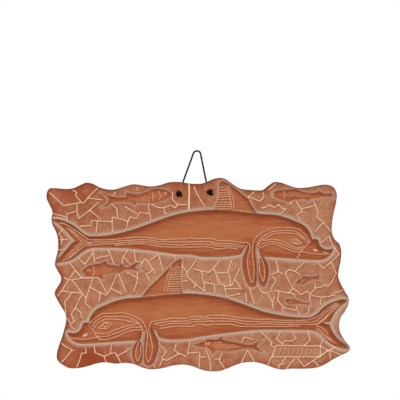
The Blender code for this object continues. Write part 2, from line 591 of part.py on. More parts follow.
class Sheet:
    """Points and lines that a flat sheet of triangles has to follow."""

    def __init__(self):
        self.points = []
        self.edges = []

    def loop(self, points):
        first = len(self.points)
        self.points += [tuple(point) for point in points]
        last = len(self.points) - 1
        self.edges += [(index, index + 1) for index in range(first, last)]
        self.edges.append((last, first))

    def line(self, points):
        first = len(self.points)
        self.points += [tuple(point) for point in points]
        self.edges += [(index, index + 1) for index in range(first, len(self.points) - 1)]

    def spots(self, points):
        self.points += [tuple(point) for point in points]

    def triangles(self, edge, holes):
        """Points, triangles inside the edge and outside the holes, and each point's sources."""
        made = delaunay_2d_cdt(
            [Vector(point) for point in self.points], self.edges, [], 0, WELD, True)
        points = np.array([tuple(point) for point in made[0]])
        faces = np.array([tuple(face) for face in made[2]])
        middle = points[faces].mean(axis=1)
        kept = inside(middle, edge)
        for hole in holes:
            kept &= ~inside(middle, hole)
        return points, faces[kept], made[3]


def lattice(loop, step):
    """Staggered points over the box of an outline."""
    low, high = loop.min(axis=0), loop.max(axis=0)
    spots = []
    for row, z in enumerate(np.arange(low[1] + step / 2, high[1], step)):
        shift = step / 2 if row % 2 else 0.0
        spots += [(x, z) for x in np.arange(low[0] + shift, high[0], step)]
    return np.array(spots)


def face_sheet(art, holes):
    """Triangles of the plaque's face, following its edge, figures and cut lines."""
    edge = art["edge"]
    sheet = Sheet()
    sheet.loop(edge)
    for share in RIM_ROWS:
        sheet.spots(edge - sideways(edge) * RIM_RADIUS * share)
    for hole in holes:
        sheet.loop(hole)
    figures = art["bodies"] + art["fins"] + art["flippers"] + art["fish"]
    for figure in figures:
        sheet.loop(figure)
        shoulder = figure - sideways(figure) * WALL_RUN
        kept = inside(shoulder, figure) & (
            distance(shoulder, [figure], True) > WALL_RUN * INSET_KEPT)
        sheet.spots(shoulder[kept])
    for body in art["bodies"]:
        for share in DOME_ROWS:
            inset = DOLPHIN_DOME_RUN * share
            ring = (body - sideways(body) * inset)[::2]
            kept = inside(ring, body) & (distance(ring, [body], True) > inset * INSET_KEPT)
            sheet.spots(ring[kept])
    for line in art["lines"]:
        sheet.line(line)
        sheet.loop(stroke(line, LINE_WIDTH))
    for line in art["paving"]:
        sheet.line(line)
        sheet.loop(stroke(line, PAVING_WIDTH))
    return sheet.triangles(edge, holes)[:2]


def paint(name, colour, roughness):
    """A plain finish."""
    material = bpy.data.materials.new(name)
    material.use_nodes = True
    shader = material.node_tree.nodes["Principled BSDF"]
    shader.inputs["Base Color"].default_value = (*colour, 1)
    shader.inputs["Roughness"].default_value = roughness
    shader.inputs["Metallic"].default_value = 0.0
    return material


def add_object(name, data, material):
    """Puts a finished mesh or curve into the scene under its own name."""
    data.materials.append(material)
    piece = bpy.data.objects.new(name, data)
    bpy.context.scene.collection.objects.link(piece)
    return piece


def back_plane():
    """How far the plaque's flat back stands in front of the cord's own plane."""
    return CORD_DIAMETER / 2 + BACK_GAP


def on_wall(point, scale):
    """X and Z from the nail of a point that has been scaled."""
    return point[0] - NAIL[0] * scale, point[1] - NAIL[1] * scale


def facing_viewer(points, face):
    """The triangle's corners in the order that turns it to the viewer."""
    a, b, c = (points[index] for index in face)
    turn = (b[0] - a[0]) * (c[1] - a[1]) - (b[1] - a[1]) * (c[0] - a[0])
    return list(face) if turn > 0 else list(face[::-1])


def borders(faces):
    """The sheet's borders, each a ring of points in the order that its triangles turn."""
    sides = {(face[k], face[(k + 1) % 3]) for face in faces for k in range(3)}
    following = {start: end for start, end in sorted(sides) if (end, start) not in sides}
    rings = []
    while following:
        ring = [min(following)]
        while ring[-1] in following:
            ring.append(following.pop(ring[-1]))
        rings.append(ring[:-1])
    return rings


def build_plaque(art, holes, material):
    """The cast plaque as one solid: carved face, walls, softened back edge and flat back."""
    points, triangles = face_sheet(art, holes)
    faces = [facing_viewer(points, face) for face in triangles]
    heights = face_height(points, art)
    bm = bmesh.new()

    def corner(point, height):
        x, z = on_wall(point, art["scale"])
        return bm.verts.new((x * MM, -(back_plane() + height) * MM, z * MM))

    front = [corner(point, height) for point, height in zip(points, heights)]
    for face in faces:
        bm.faces.new([front[index] for index in face])

    back = Sheet()
    back_corners = []
    insets = []
    for ring in sorted(borders(faces), key=lambda ring: -np.ptp(points[ring][:, 0])):
        outward = sideways(points[ring]) * (-1 if insets else 1)
        inset = points[ring] - outward * BACK_CHAMFER
        foot = [corner(points[index], BACK_CHAMFER) for index in ring]
        last = [corner(point, 0.0) for point in inset]
        for here in range(len(ring)):
            there = (here + 1) % len(ring)
            bm.faces.new((front[ring[there]], front[ring[here]], foot[here], foot[there]))
            bm.faces.new((foot[there], foot[here], last[here], last[there]))
        back.loop(inset)
        back_corners += last
        insets.append(inset)

    spots = lattice(art["edge"], BACK_STEP)
    clear = inside(spots, insets[0]) & (distance(spots, insets, True) > BACK_CLEARANCE)
    back.spots(spots[clear])
    flat, triangles, sources = back.triangles(insets[0], insets[1:])
    placed = [back_corners[source[0]] if source and source[0] < len(back_corners)
              else corner(point, 0.0) for point, source in zip(flat, sources)]
    for face in triangles:
        bm.faces.new([placed[index] for index in facing_viewer(flat, face)[::-1]])

    loose = [vert for vert in bm.verts if not vert.link_faces]
    bmesh.ops.delete(bm, geom=loose, context="VERTS")
    mesh = bpy.data.meshes.new("terracotta_plaque")
    bm.to_mesh(mesh)
    bm.free()
    mesh.shade_smooth()
    mesh.set_sharp_from_angle(angle=math.radians(SHARP_ANGLE))
    add_object("terracotta_plaque", mesh, material)


def build_cord(scale, material):
    """The round cord, from one knot through its hole, over the nail and back."""
    face = -(back_plane() + GROUND_THICKNESS)
    route = [(x * scale, face if y is FACE else y, z * scale) for x, y, z in ROUTE]
    line = smooth(route, CORD_POINT_STEP)
    curve = bpy.data.curves.new("hanging_cord", "CURVE")
    curve.dimensions = "3D"
    curve.bevel_depth = CORD_DIAMETER / 2 * MM
    curve.bevel_resolution = CORD_ROUNDING
    curve.use_fill_caps = True
    spline = curve.splines.new("POLY")
    spline.points.add(len(line) - 1)
    for point, place in zip(spline.points, line):
        point.co = (*(place * MM), 1)
    add_object("hanging_cord", curve, material)


def build_knot(name, hole, scale, material):
    """A stopper knot: a pulled-tight lump, flat where it bears on the clay."""
    x, z = on_wall(hole, scale)
    bearing = -(back_plane() + GROUND_THICKNESS + TOUCH_GAP)
    bm = bmesh.new()
    bmesh.ops.create_icosphere(bm, subdivisions=KNOT_SUBDIVISIONS, radius=1.0)
    for vert in bm.verts:
        place = vert.co.copy()
        turn = math.atan2(place.z, place.x) + KNOT_TWIST * place.y
        groove = max(0.0, math.cos(KNOT_GROOVES * turn)) ** KNOT_GROOVE_POWER
        lump = 1 - KNOT_GROOVE * groove
        depth = max(place.y * lump, -1.0)
        flat = min(depth, KNOT_FLAT)
        vert.co = (
            (x + place.x * lump * KNOT_WIDTH / 2) * MM,
            (bearing + (flat - KNOT_FLAT) * KNOT_DEPTH / (1 + KNOT_FLAT)) * MM,
            (z + place.z * lump * KNOT_WIDTH / 2) * MM)
    mesh = bpy.data.meshes.new(name)
    bm.to_mesh(mesh)
    bm.free()
    mesh.shade_smooth()
    add_object(name, mesh, material)


def main():
    """Clears the scene and builds the plaque, its cord and the cord's two knots."""
    for piece in list(bpy.data.objects):
        bpy.data.objects.remove(piece)
    drawn = drawing()
    scale = PLAQUE_WIDTH / float(np.ptp(drawn["edge"][:, 0]))
    art = scaled(drawn, scale)
    art["scale"] = scale
    left, right = (scaled(np.array(hole), scale) for hole in (LEFT_HOLE, RIGHT_HOLE))
    holes = [circle(hole, HOLE_DIAMETER / 2, HOLE_SIDES) for hole in (left, right)]

    terracotta = paint("fired terracotta", (0.36, 0.125, 0.052), 0.82)
    leather = paint("black leather cord", (0.012, 0.01, 0.009), 0.5)
    build_plaque(art, holes, terracotta)
    build_cord(scale, leather)
    build_knot("knot_left", left, scale, leather)
    build_knot("knot_right", right, scale, leather)


main()
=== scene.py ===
"""A hand-cast terracotta wall plaque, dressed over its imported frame: two dolphins and six small
fish in low relief on a paved ground, hung by one knotted black cord.

The clay is worked as it lies on the bench, in millimetres: X and Y run over its face and Z is
the height above its flat back. It is then stood up behind the nail, where the origin is.
"""

import math

import bmesh
import bpy
import numpy as np
from mathutils import Matrix, Vector, noise


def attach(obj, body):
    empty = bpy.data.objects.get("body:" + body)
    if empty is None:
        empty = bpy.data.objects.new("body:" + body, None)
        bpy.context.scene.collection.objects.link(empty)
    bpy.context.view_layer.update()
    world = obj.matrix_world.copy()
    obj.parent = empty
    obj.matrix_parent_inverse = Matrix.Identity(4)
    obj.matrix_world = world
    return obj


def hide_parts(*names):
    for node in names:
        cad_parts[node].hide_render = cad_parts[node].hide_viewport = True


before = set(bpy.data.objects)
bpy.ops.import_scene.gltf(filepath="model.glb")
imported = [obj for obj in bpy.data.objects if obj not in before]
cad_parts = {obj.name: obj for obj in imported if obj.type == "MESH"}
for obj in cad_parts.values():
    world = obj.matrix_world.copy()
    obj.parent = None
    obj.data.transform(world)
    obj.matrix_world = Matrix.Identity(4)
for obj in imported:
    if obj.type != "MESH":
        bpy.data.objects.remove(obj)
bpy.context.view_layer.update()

# The camera stands square to the plaque at its own height, as the photograph was taken, and
# its frame is 448 mm wide at the clay's face.
MM = 0.001
FRAME_WIDTH = 448.0
FACE_BEHIND_CAMERA = 1600.0
AIM = (3.24, -12.0, -54.4)
SENSOR = 36.0


def placed(name, data):
    """A new object of the data, put into the scene."""
    made = bpy.data.objects.new(name, data)
    bpy.context.scene.collection.objects.link(made)
    return made


camera_data = bpy.data.cameras.new("camera")
camera_data.sensor_width = SENSOR
camera_data.lens = SENSOR * FACE_BEHIND_CAMERA / FRAME_WIDTH
camera_data.clip_start = 0.1
camera_data.clip_end = 50.0
camera = placed("camera", camera_data)
camera.location = (AIM[0] * MM, (AIM[1] - FACE_BEHIND_CAMERA) * MM, AIM[2] * MM)
camera.rotation_euler = (math.pi / 2, 0.0, 0.0)
bpy.context.scene.camera = camera

# The hanging cord is one round black leather thong, about 2 mm thick, which runs from the
# left knot through its hole, up over the nail and down through the right hole.
CORD_DIAMETER = 2.0
CORD_ROUNDING = 4
CORD_POINT_STEP = 1.0
PLAQUE_WIDTH = 340.0
GROUND_THICKNESS = 10.0
BACK_GAP = 0.5
BACK_PLANE = CORD_DIAMETER / 2 + BACK_GAP
FACE = -(BACK_PLANE + GROUND_THICKNESS)
KNOT_REACH = 3.6
ROUTE = [
    (-20.5, FACE - KNOT_REACH, -47.6), (-20.5, -7.6, -47.6), (-20.5, -4.2, -47.6),
    (-20.3, -2.1, -47.1), (-19.8, -0.56, -45.7), (-19.2, 0, -43.5), (-16.8, 0, -36.5),
    (-13, 0, -26), (-9.35, 0, -16), (-7.23, 0, -10.2), (-4.23, 0, -1.9), (-3.21, 0, -0.29),
    (-1.75, 0, 0.68), (0, 0, 1), (1.55, 0, 0.68), (2.95, 0, -0.3), (3.95, 0, -2.5),
    (4.5, 0, -5.3), (5.48, 0, -10.2), (7.47, 0, -20), (9.7, 0, -31), (11.3, 0, -37.4),
    (13, 0, -42), (13.7, -0.56, -43.9), (14, -2.1, -45.4), (14.2, -4.2, -45.9),
    (14.2, -7.6, -45.9), (14.2, FACE - KNOT_REACH, -45.9),
]
# The plaque's cut edge, whose width sets the scale of everything drawn here
EDGE = [
    (-153.3, -2), (-157, 5), (-160, 11), (-159.5, 17), (-156.9, 26.5), (-156.4, 34),
    (-157, 43), (-159.5, 50), (-163, 57), (-164, 63.5), (-162.8, 70.8), (-165.5, 77.5),
    (-169, 85), (-169.3, 91.5), (-166, 97), (-158, 97.3), (-147, 96.5), (-138.9, 97.7),
    (-131, 101.3), (-124.9, 103.6), (-118, 102.3), (-110, 98.2), (-101, 96),
    (-92.4, 96.2), (-82, 99.3), (-72, 101.8), (-61, 100.3), (-52.5, 99.4), (-43, 100.8),
    (-32.3, 104), (-20.8, 104.4), (-10.4, 102.8), (2, 102.3), (9.6, 104.3), (16, 107.3),
    (24, 109), (31, 107.5), (38.9, 101.9), (46, 97.4), (54, 95.8), (66, 95), (73, 95.6),
    (79, 100.3), (85.2, 104.2), (92, 103.8), (101, 100.8), (110, 98), (122, 98.2),
    (134, 100.4), (143.3, 101.4), (151, 98.8), (155, 92), (154.6, 82), (151.7, 69.3),
    (149.9, 58), (149.8, 48), (153, 40), (158, 35), (160.2, 27), (159.5, 16), (157.5, 6),
    (157, -2), (160, -10), (164.5, -18.5), (168.3, -25), (168.3, -32), (164.5, -40),
    (159.8, -47), (157.7, -56), (159.5, -65), (165, -74), (169.5, -79.5), (169, -84.5),
    (162, -88.6), (152, -93.5), (144, -98.5), (136, -102.3), (128, -104), (116, -104.6),
    (104, -104.5), (95, -105.5), (87, -104.3), (78, -101), (70, -98.4), (61, -97),
    (51, -97.8), (42, -100.4), (32, -104.5), (23, -107.3), (12, -107.3), (3, -105.3),
    (-6, -101.8), (-16, -100), (-28, -101), (-40, -104), (-52, -105.3), (-62, -103.3),
    (-72, -99.3), (-82, -98), (-92, -98.9), (-103, -97.4), (-113, -98.6), (-123, -101.6),
    (-133, -103.7), (-143, -104), (-151, -100.5), (-157, -95), (-158, -88.5), (-156, -80),
    (-152.8, -71), (-149.8, -61), (-147.6, -51), (-148.7, -42.5), (-153, -35),
    (-158, -26.5), (-160.4, -20), (-157.5, -13.5), (-154, -8),
]
EDGE_STEP = 7.5


def smooth(points, step, closed=False):
    """Points about a step apart along a smooth curve through the given ones."""
    knots = [np.array(point, float) for point in points]
    count = len(knots)
    curve = []
    for index in range(count if closed else count - 1):
        if closed:
            before, start, end, after = (knots[(index + k) % count] for k in (-1, 0, 1, 2))
        else:
            before = knots[max(index - 1, 0)]
            start, end = knots[index], knots[index + 1]
            after = knots[min(index + 2, count - 1)]
        pieces = max(1, round(float(np.linalg.norm(end - start)) / step))
        for piece in range(pieces):
            t = piece / pieces
            curve.append(0.5 * (
                2 * start + (end - before) * t
                + (2 * before - 5 * start + 4 * end - after) * t * t
                + (3 * start - before - 3 * end + after) * t ** 3))
    if not closed:
        curve.append(knots[-1])
    return np.array(curve)


def linear(colour):
    """An sRGB hex colour as linear red, green, blue and alpha."""
    levels = [int(colour[index:index + 2], 16) / 255 for index in (1, 3, 5)]
    return (*[level / 12.92 if level <= 0.04045 else ((level + 0.055) / 1.055) ** 2.4
              for level in levels], 1.0)


def add(material, kind, values=None, **settings):
    """Adds one node, with its own settings and its inputs set or linked."""
    node = material.node_tree.nodes.new("ShaderNode" + kind)
    for name, setting in settings.items():
        setattr(node, name, setting)
    for socket, value in (values or {}).items():
        if isinstance(value, bpy.types.NodeSocket):
            material.node_tree.links.new(value, node.inputs[socket])
        else:
            node.inputs[socket].default_value = value
    return node


def finish(name):
    """A new material with nothing in it but its shader."""
    material = bpy.data.materials.new(name)
    material.use_nodes = True
    return material, material.node_tree.nodes["Principled BSDF"]


def thong_along(name, runs):
    """Round thong along runs of points in millimetres, each with whether it closes on itself."""
    curve = bpy.data.curves.new(name, "CURVE")
    curve.dimensions = "3D"
    curve.bevel_depth = CORD_DIAMETER / 2 * MM
    curve.bevel_resolution = CORD_ROUNDING
    curve.use_fill_caps = True
    for run, closed in runs:
        spline = curve.splines.new("POLY")
        spline.points.add(len(run) - 1)
        for point, place in zip(spline.points, run):
            point.co = (*(place * MM), 1.0)
        spline.use_cyclic_u = closed
        spline.use_smooth = True
    curve.materials.append(leather)
    return placed(name, curve)


# Round leather thong, drum-dyed black and waxed: near black, with a soft narrow sheen and
# faint grain across it.
LEATHER_GRAIN = 0.9
leather, shader = finish("waxed_black_leather_thong")
shader.inputs["Roughness"].default_value = 0.5
shader.inputs["Specular IOR Level"].default_value = 0.12
place = add(leather, "TexCoord").outputs["Object"]
grain = add(leather, "TexNoise", {"Vector": place, "Scale": 1 / (LEATHER_GRAIN * MM),
                                  "Detail": 3.0}).outputs["Fac"]
tone = add(leather, "Mix", {0: grain, 6: linear("#070606"), 7: linear("#151210")},
           data_type="RGBA").outputs[2]
bump = add(leather, "Bump", {"Height": grain, "Strength": 0.35, "Distance": 0.0002})
leather.node_tree.links.new(tone, shader.inputs["Base Color"])
leather.node_tree.links.new(bump.outputs["Normal"], shader.inputs["Normal"])

scale = PLAQUE_WIDTH / float(np.ptp(smooth(EDGE, EDGE_STEP, closed=True)[:, 0]))
thong = smooth([(x * scale, y, z * scale) for x, y, z in ROUTE], CORD_POINT_STEP)
cord = thong_along("leather_hanging_cord", [(thong, False)])
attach(cord, "root")
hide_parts("hanging_cord")

# The two stopper knots are the thong's own ends, each tied in an overhand knot and pulled
# down tight on the clay in front of its hole.
NAIL = (-1.0, 138.4)
LEFT_HOLE = (-21.5, 90.8)
RIGHT_HOLE = (13.2, 92.5)
KNOT_LOOPS = 0.9
KNOT_RISE = 1.2
KNOT_THICKNESS = 5.3
KNOT_MIDDLE = FACE - KNOT_THICKNESS / 2
KNOT_POINTS = 72
CORE_RADIUS = 2.0
CORE_POINTS = 24
TAIL = [(0.4, -0.8, -0.4), (1.6, -0.5, -1.5), (2.6, 0.2, -2.3), (3.2, 0.7, -2.7)]
TAIL_STEP = 0.5


def ring(centre, radius, sides=10):
    """A small closed ring of points."""
    return [(centre[0] + radius * math.cos(2 * math.pi * side / sides),
             centre[1] + radius * math.sin(2 * math.pi * side / sides))
            for side in range(sides + 1)]


for side, hole, turn in (("left", LEFT_HOLE, -0.5), ("right", RIGHT_HOLE, 0.4)):
    x, z = ((hole[axis] - NAIL[axis]) * scale for axis in (0, 1))
    loops = []
    for step in range(KNOT_POINTS):
        t = 2 * math.pi * step / KNOT_POINTS
        across = (math.sin(t) + 2 * math.sin(2 * t)) * KNOT_LOOPS
        up = (math.cos(t) - 2 * math.cos(2 * t)) * KNOT_LOOPS
        loops.append((x + across * math.cos(turn) - up * math.sin(turn),
                      KNOT_MIDDLE - KNOT_RISE * math.sin(3 * t),
                      z + across * math.sin(turn) + up * math.cos(turn)))
    core = [(along, KNOT_MIDDLE, up) for along, up in ring((x, z), CORE_RADIUS, CORE_POINTS)[:-1]]
    tail = [(x + right, KNOT_MIDDLE + back, z + up) for right, back, up in TAIL]
    knot = thong_along(f"overhand_knot_{side}", [
        (np.array(loops), True), (np.array(core), True), (smooth(tail, TAIL_STEP), False)])
    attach(knot, "root")
    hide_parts(f"knot_{side}")

# The plaque is one slab of red earthenware, pressed in a hand-carved mould with its edge cut by
# knife. Figures stand up to 5 mm proud, and the paving, stripes and features are cut lines.
RIM_RADIUS = 3.0
BACK_CHAMFER = 0.8
DOLPHIN_WALL = 2.4
DOLPHIN_DOME = 2.4
DOLPHIN_DOME_RUN = 17.0
FIN_WALL = 1.9
FLIPPER_WALL = 3.4
FLIPPER_DOME = 1.0
FISH_WALL = 1.3
FISH_DOME = 0.9
SMALL_DOME_RUN = 6.0
WALL_RUN = 1.6
HOLE_DIAMETER = 4.2
# Outlines of the upper dolphin and of the parts in which the lower one differs from it, in
# runs that meet in corners. Its head, chin and flippers serve both.
HEAD_RUNS = [
    [(-43.8, 61.9), (-20.8, 69.1), (7.2, 73), (22, 73.2), (37.7, 72.3), (52, 70.8), (68.1, 69),
     (85, 67.8), (98, 64.8), (108, 60.8), (116.5, 57), (122.3, 52), (125.8, 46), (127.4, 40.2)],
    [(129.5, 41), (132.6, 40.7)],
    [(134.5, 38.3), (135.3, 35.5), (137, 32.3), (140, 30), (144, 29), (148.2, 29.7),
     (151.7, 29.6)],
]
CHIN = [(150, 26), (146, 21), (139.6, 17.5), (129.2, 16.9), (109.3, 18.2), (85, 19.9), (74, 20.4),
        (69, 21)]
FLIPPER_NOTCH = [
    [(68.4, 25), (66.8, 29.5), (63, 32.5)],
    [(55, 33.5)],
    [(51.7, 30.5), (49.9, 26.3), (47.2, 22.9)],
]
UPPER_REAR = [
    [(42, 22.1), (30, 20.6), (10, 20.2), (0, 21), (-8, 22.8), (-25, 23.5), (-40, 25.5), (-60, 28),
     (-85, 30.2), (-103, 30.5), (-118, 30.2), (-127.8, 26.5), (-135.2, 20.6), (-143.3, 16.2),
     (-152.9, 14), (-159.1, 13.2)],
    [(-157.5, 17), (-152.9, 22.5), (-147, 29.5), (-141.5, 35.5), (-137.5, 38.5)],
    [(-142, 43.3), (-150, 51.7), (-155, 56.3), (-163.2, 62)],
    [(-158, 62.7), (-150, 60.8), (-144, 58.5), (-140, 56.6), (-135, 52.8), (-130, 48.6),
     (-125, 45.2), (-120, 43.9), (-105, 44.4), (-90, 46.9), (-78.5, 49.8), (-66.9, 53.3)],
]
LOWER_REAR = [
    [(35, 21.5), (15, 22.3), (5, 24.3), (-5, 25.8), (-15, 27.3), (-40, 30.3), (-60, 32.2),
     (-85, 32.3), (-110, 32.2), (-121, 31.9), (-129, 28.8), (-134, 24.3), (-140, 18.8),
     (-146, 14.8), (-153, 12.3), (-160, 10.8), (-163, 11.2)],
    [(-161, 15), (-157, 18.3), (-152, 21.8), (-148, 26.3), (-144, 32.3), (-141.9, 38),
     (-137.9, 39.3), (-133.9, 40.6)],
    [(-137.9, 40.9), (-141.4, 41), (-143.4, 43.3), (-147, 50.3), (-153, 58), (-159, 62.3),
     (-162, 65)],
    [(-158, 66.8), (-152, 66.3), (-145, 63.8), (-138, 60.3), (-133, 56.3), (-128, 51.3),
     (-122, 47.5), (-115, 46.3), (-105, 46.8), (-95, 47.8), (-85, 49.3), (-66.9, 53.3)],
]
UPPER_FIN = [
    [(19.4, 78.4), (22.7, 85.8), (23.3, 95), (23.6, 104)],
    [(28.5, 105.4), (38.9, 99.2), (49.8, 90.6), (56, 85.5), (58.7, 80.5), (62.2, 75), (66.5, 68)],
    [(17.5, 66)],
]
LOWER_FIN = [
    [(23.9, 80), (24.3, 95), (22.7, 112.5)],
    [(30.2, 109.3), (40.2, 99.8), (50.2, 89.3), (60.2, 79.8), (69, 68)],
    [(19, 66)],
]
LONG_FLIPPER = [
    (57, 37), (54.2, 31), (52.3, 26), (50.3, 22), (49.3, 17), (49.3, 10), (50.5, 3), (52.5, -4),
    (55, -10), (58, -12.8), (61, -13.5), (64, -12), (65.3, -8), (65.5, 0), (65.5, 10), (65.2, 18),
    (64.5, 26), (63.8, 33), (60.5, 38),
]
SHORT_FLIPPER = [
    (74.5, 18.5), (77, 14.5), (78.7, 9), (79, 2), (77.8, -5), (75.8, -10), (73.2, -13.3),
    (70.5, -12), (68, -8), (66.9, -2), (66.9, 5), (67.3, 12), (68.8, 18), (71.5, 21),
]
FLIPPER_ROOT = 18.0
LOWER_FLIPPER_SHARE = 0.82
TURN_X = 5.15
TURN_DROP = 93.3
FISH = {
    "top_left": [
        [(-106, 92.5), (-98, 88.6), (-88, 86.9), (-81, 87.4)],
        [(-79.4, 93.3)],
        [(-73, 91), (-64, 91), (-57, 93.8), (-50, 96.7), (-38, 96), (-30.5, 92.3), (-30, 89),
         (-30.8, 86.8)],
        [(-38, 83.8), (-48, 80.8), (-60, 80.3), (-68.5, 80.3)],
        [(-71, 77.8)],
        [(-74.5, 80.5), (-86, 81.8), (-96, 80.5), (-102, 76.6), (-109, 75.8)],
        [(-104, 78.5), (-99.5, 84), (-104, 89.5), (-109.5, 93)],
    ],
    "top_right": [
        [(83, 91.5), (86, 93.8), (90.9, 95.3), (98, 95.8), (104, 96.4), (109, 96.6), (112.5, 95),
         (119, 93.2), (126.3, 92.1), (132, 92.7), (135.9, 94.9)],
        [(138.5, 92), (144, 91.4), (152.5, 92.5)],
        [(149.3, 90.2), (153.2, 85.6)],
        [(147, 87.4), (140, 87.2), (131, 86.3), (125.8, 85.3), (123, 82.4)],
        [(119.5, 84.6), (112, 84.6), (104.5, 83.5), (101.2, 80.3)],
        [(98, 82.8), (92, 84.5), (88, 86), (83, 88.7)],
        [(85.8, 90)],
    ],
    "middle_left": [
        [(-127, 7.5), (-122, 10.8), (-116, 12.2), (-109, 13.3), (-105.5, 15.4), (-102, 16.6)],
        [(-101, 12.6), (-95, 11.6), (-90, 10.6), (-86.5, 12.2), (-83.4, 13.8)],
        [(-83, 9.8), (-79, 8.8), (-75, 10.6), (-70.5, 13.6), (-63.5, 15)],
        [(-68, 11.3), (-69.6, 8.2), (-62.5, 4.6)],
        [(-68, 5), (-76, 6.2), (-83, 5.8), (-86, 3.2), (-95, 1.8), (-107, 0.6)],
        [(-105.6, -2), (-105.4, -4.8)],
        [(-109.5, -3.3), (-113, -1.9), (-121, -1.6), (-128.5, -0.4)],
        [(-127.2, 1), (-125.6, 1.9), (-131, 3)],
    ],
    "middle_right": [
        [(110, -6.8), (113.5, -3.8), (118.5, -0.8), (122, -1.4), (131, -0.7), (136.6, 1.9)],
        [(135, -2.8), (137, -5)],
        [(131, -4.6), (127, -5.6), (124, -7.4), (120.5, -7.9), (118.6, -10.8)],
        [(113, -9.6), (107.5, -10)],
    ],
    "lower_right": [
        [(100, -26), (107, -26.6), (113, -28.2), (119, -30.2), (126, -31)],
        [(123.6, -32.6), (125.6, -34.2)],
        [(118, -32.4), (110, -32.2), (102, -32), (98, -30.4), (96.8, -27.4)],
    ],
    "bottom": [
        [(0, -76.2), (2.5, -74.6), (5, -74.2), (8.5, -71.8), (14, -71.2), (21, -71.5), (25, -69),
         (29.5, -67.8)],
        [(27, -71), (33, -73), (41, -74.2), (48, -76), (55, -77.2), (61, -76.8), (66, -74.4),
         (75, -71.3)],
        [(69.5, -75), (65.5, -79.6), (69.5, -83), (75.5, -86)],
        [(68, -85), (60, -82.3), (50, -82.5), (40, -84.3), (30, -85), (20.5, -84.4),
         (16.5, -88.8)],
        [(14, -83.8), (10, -81.4), (3, -80.4), (-2.5, -79.4), (-6, -76.8)],
    ],
}
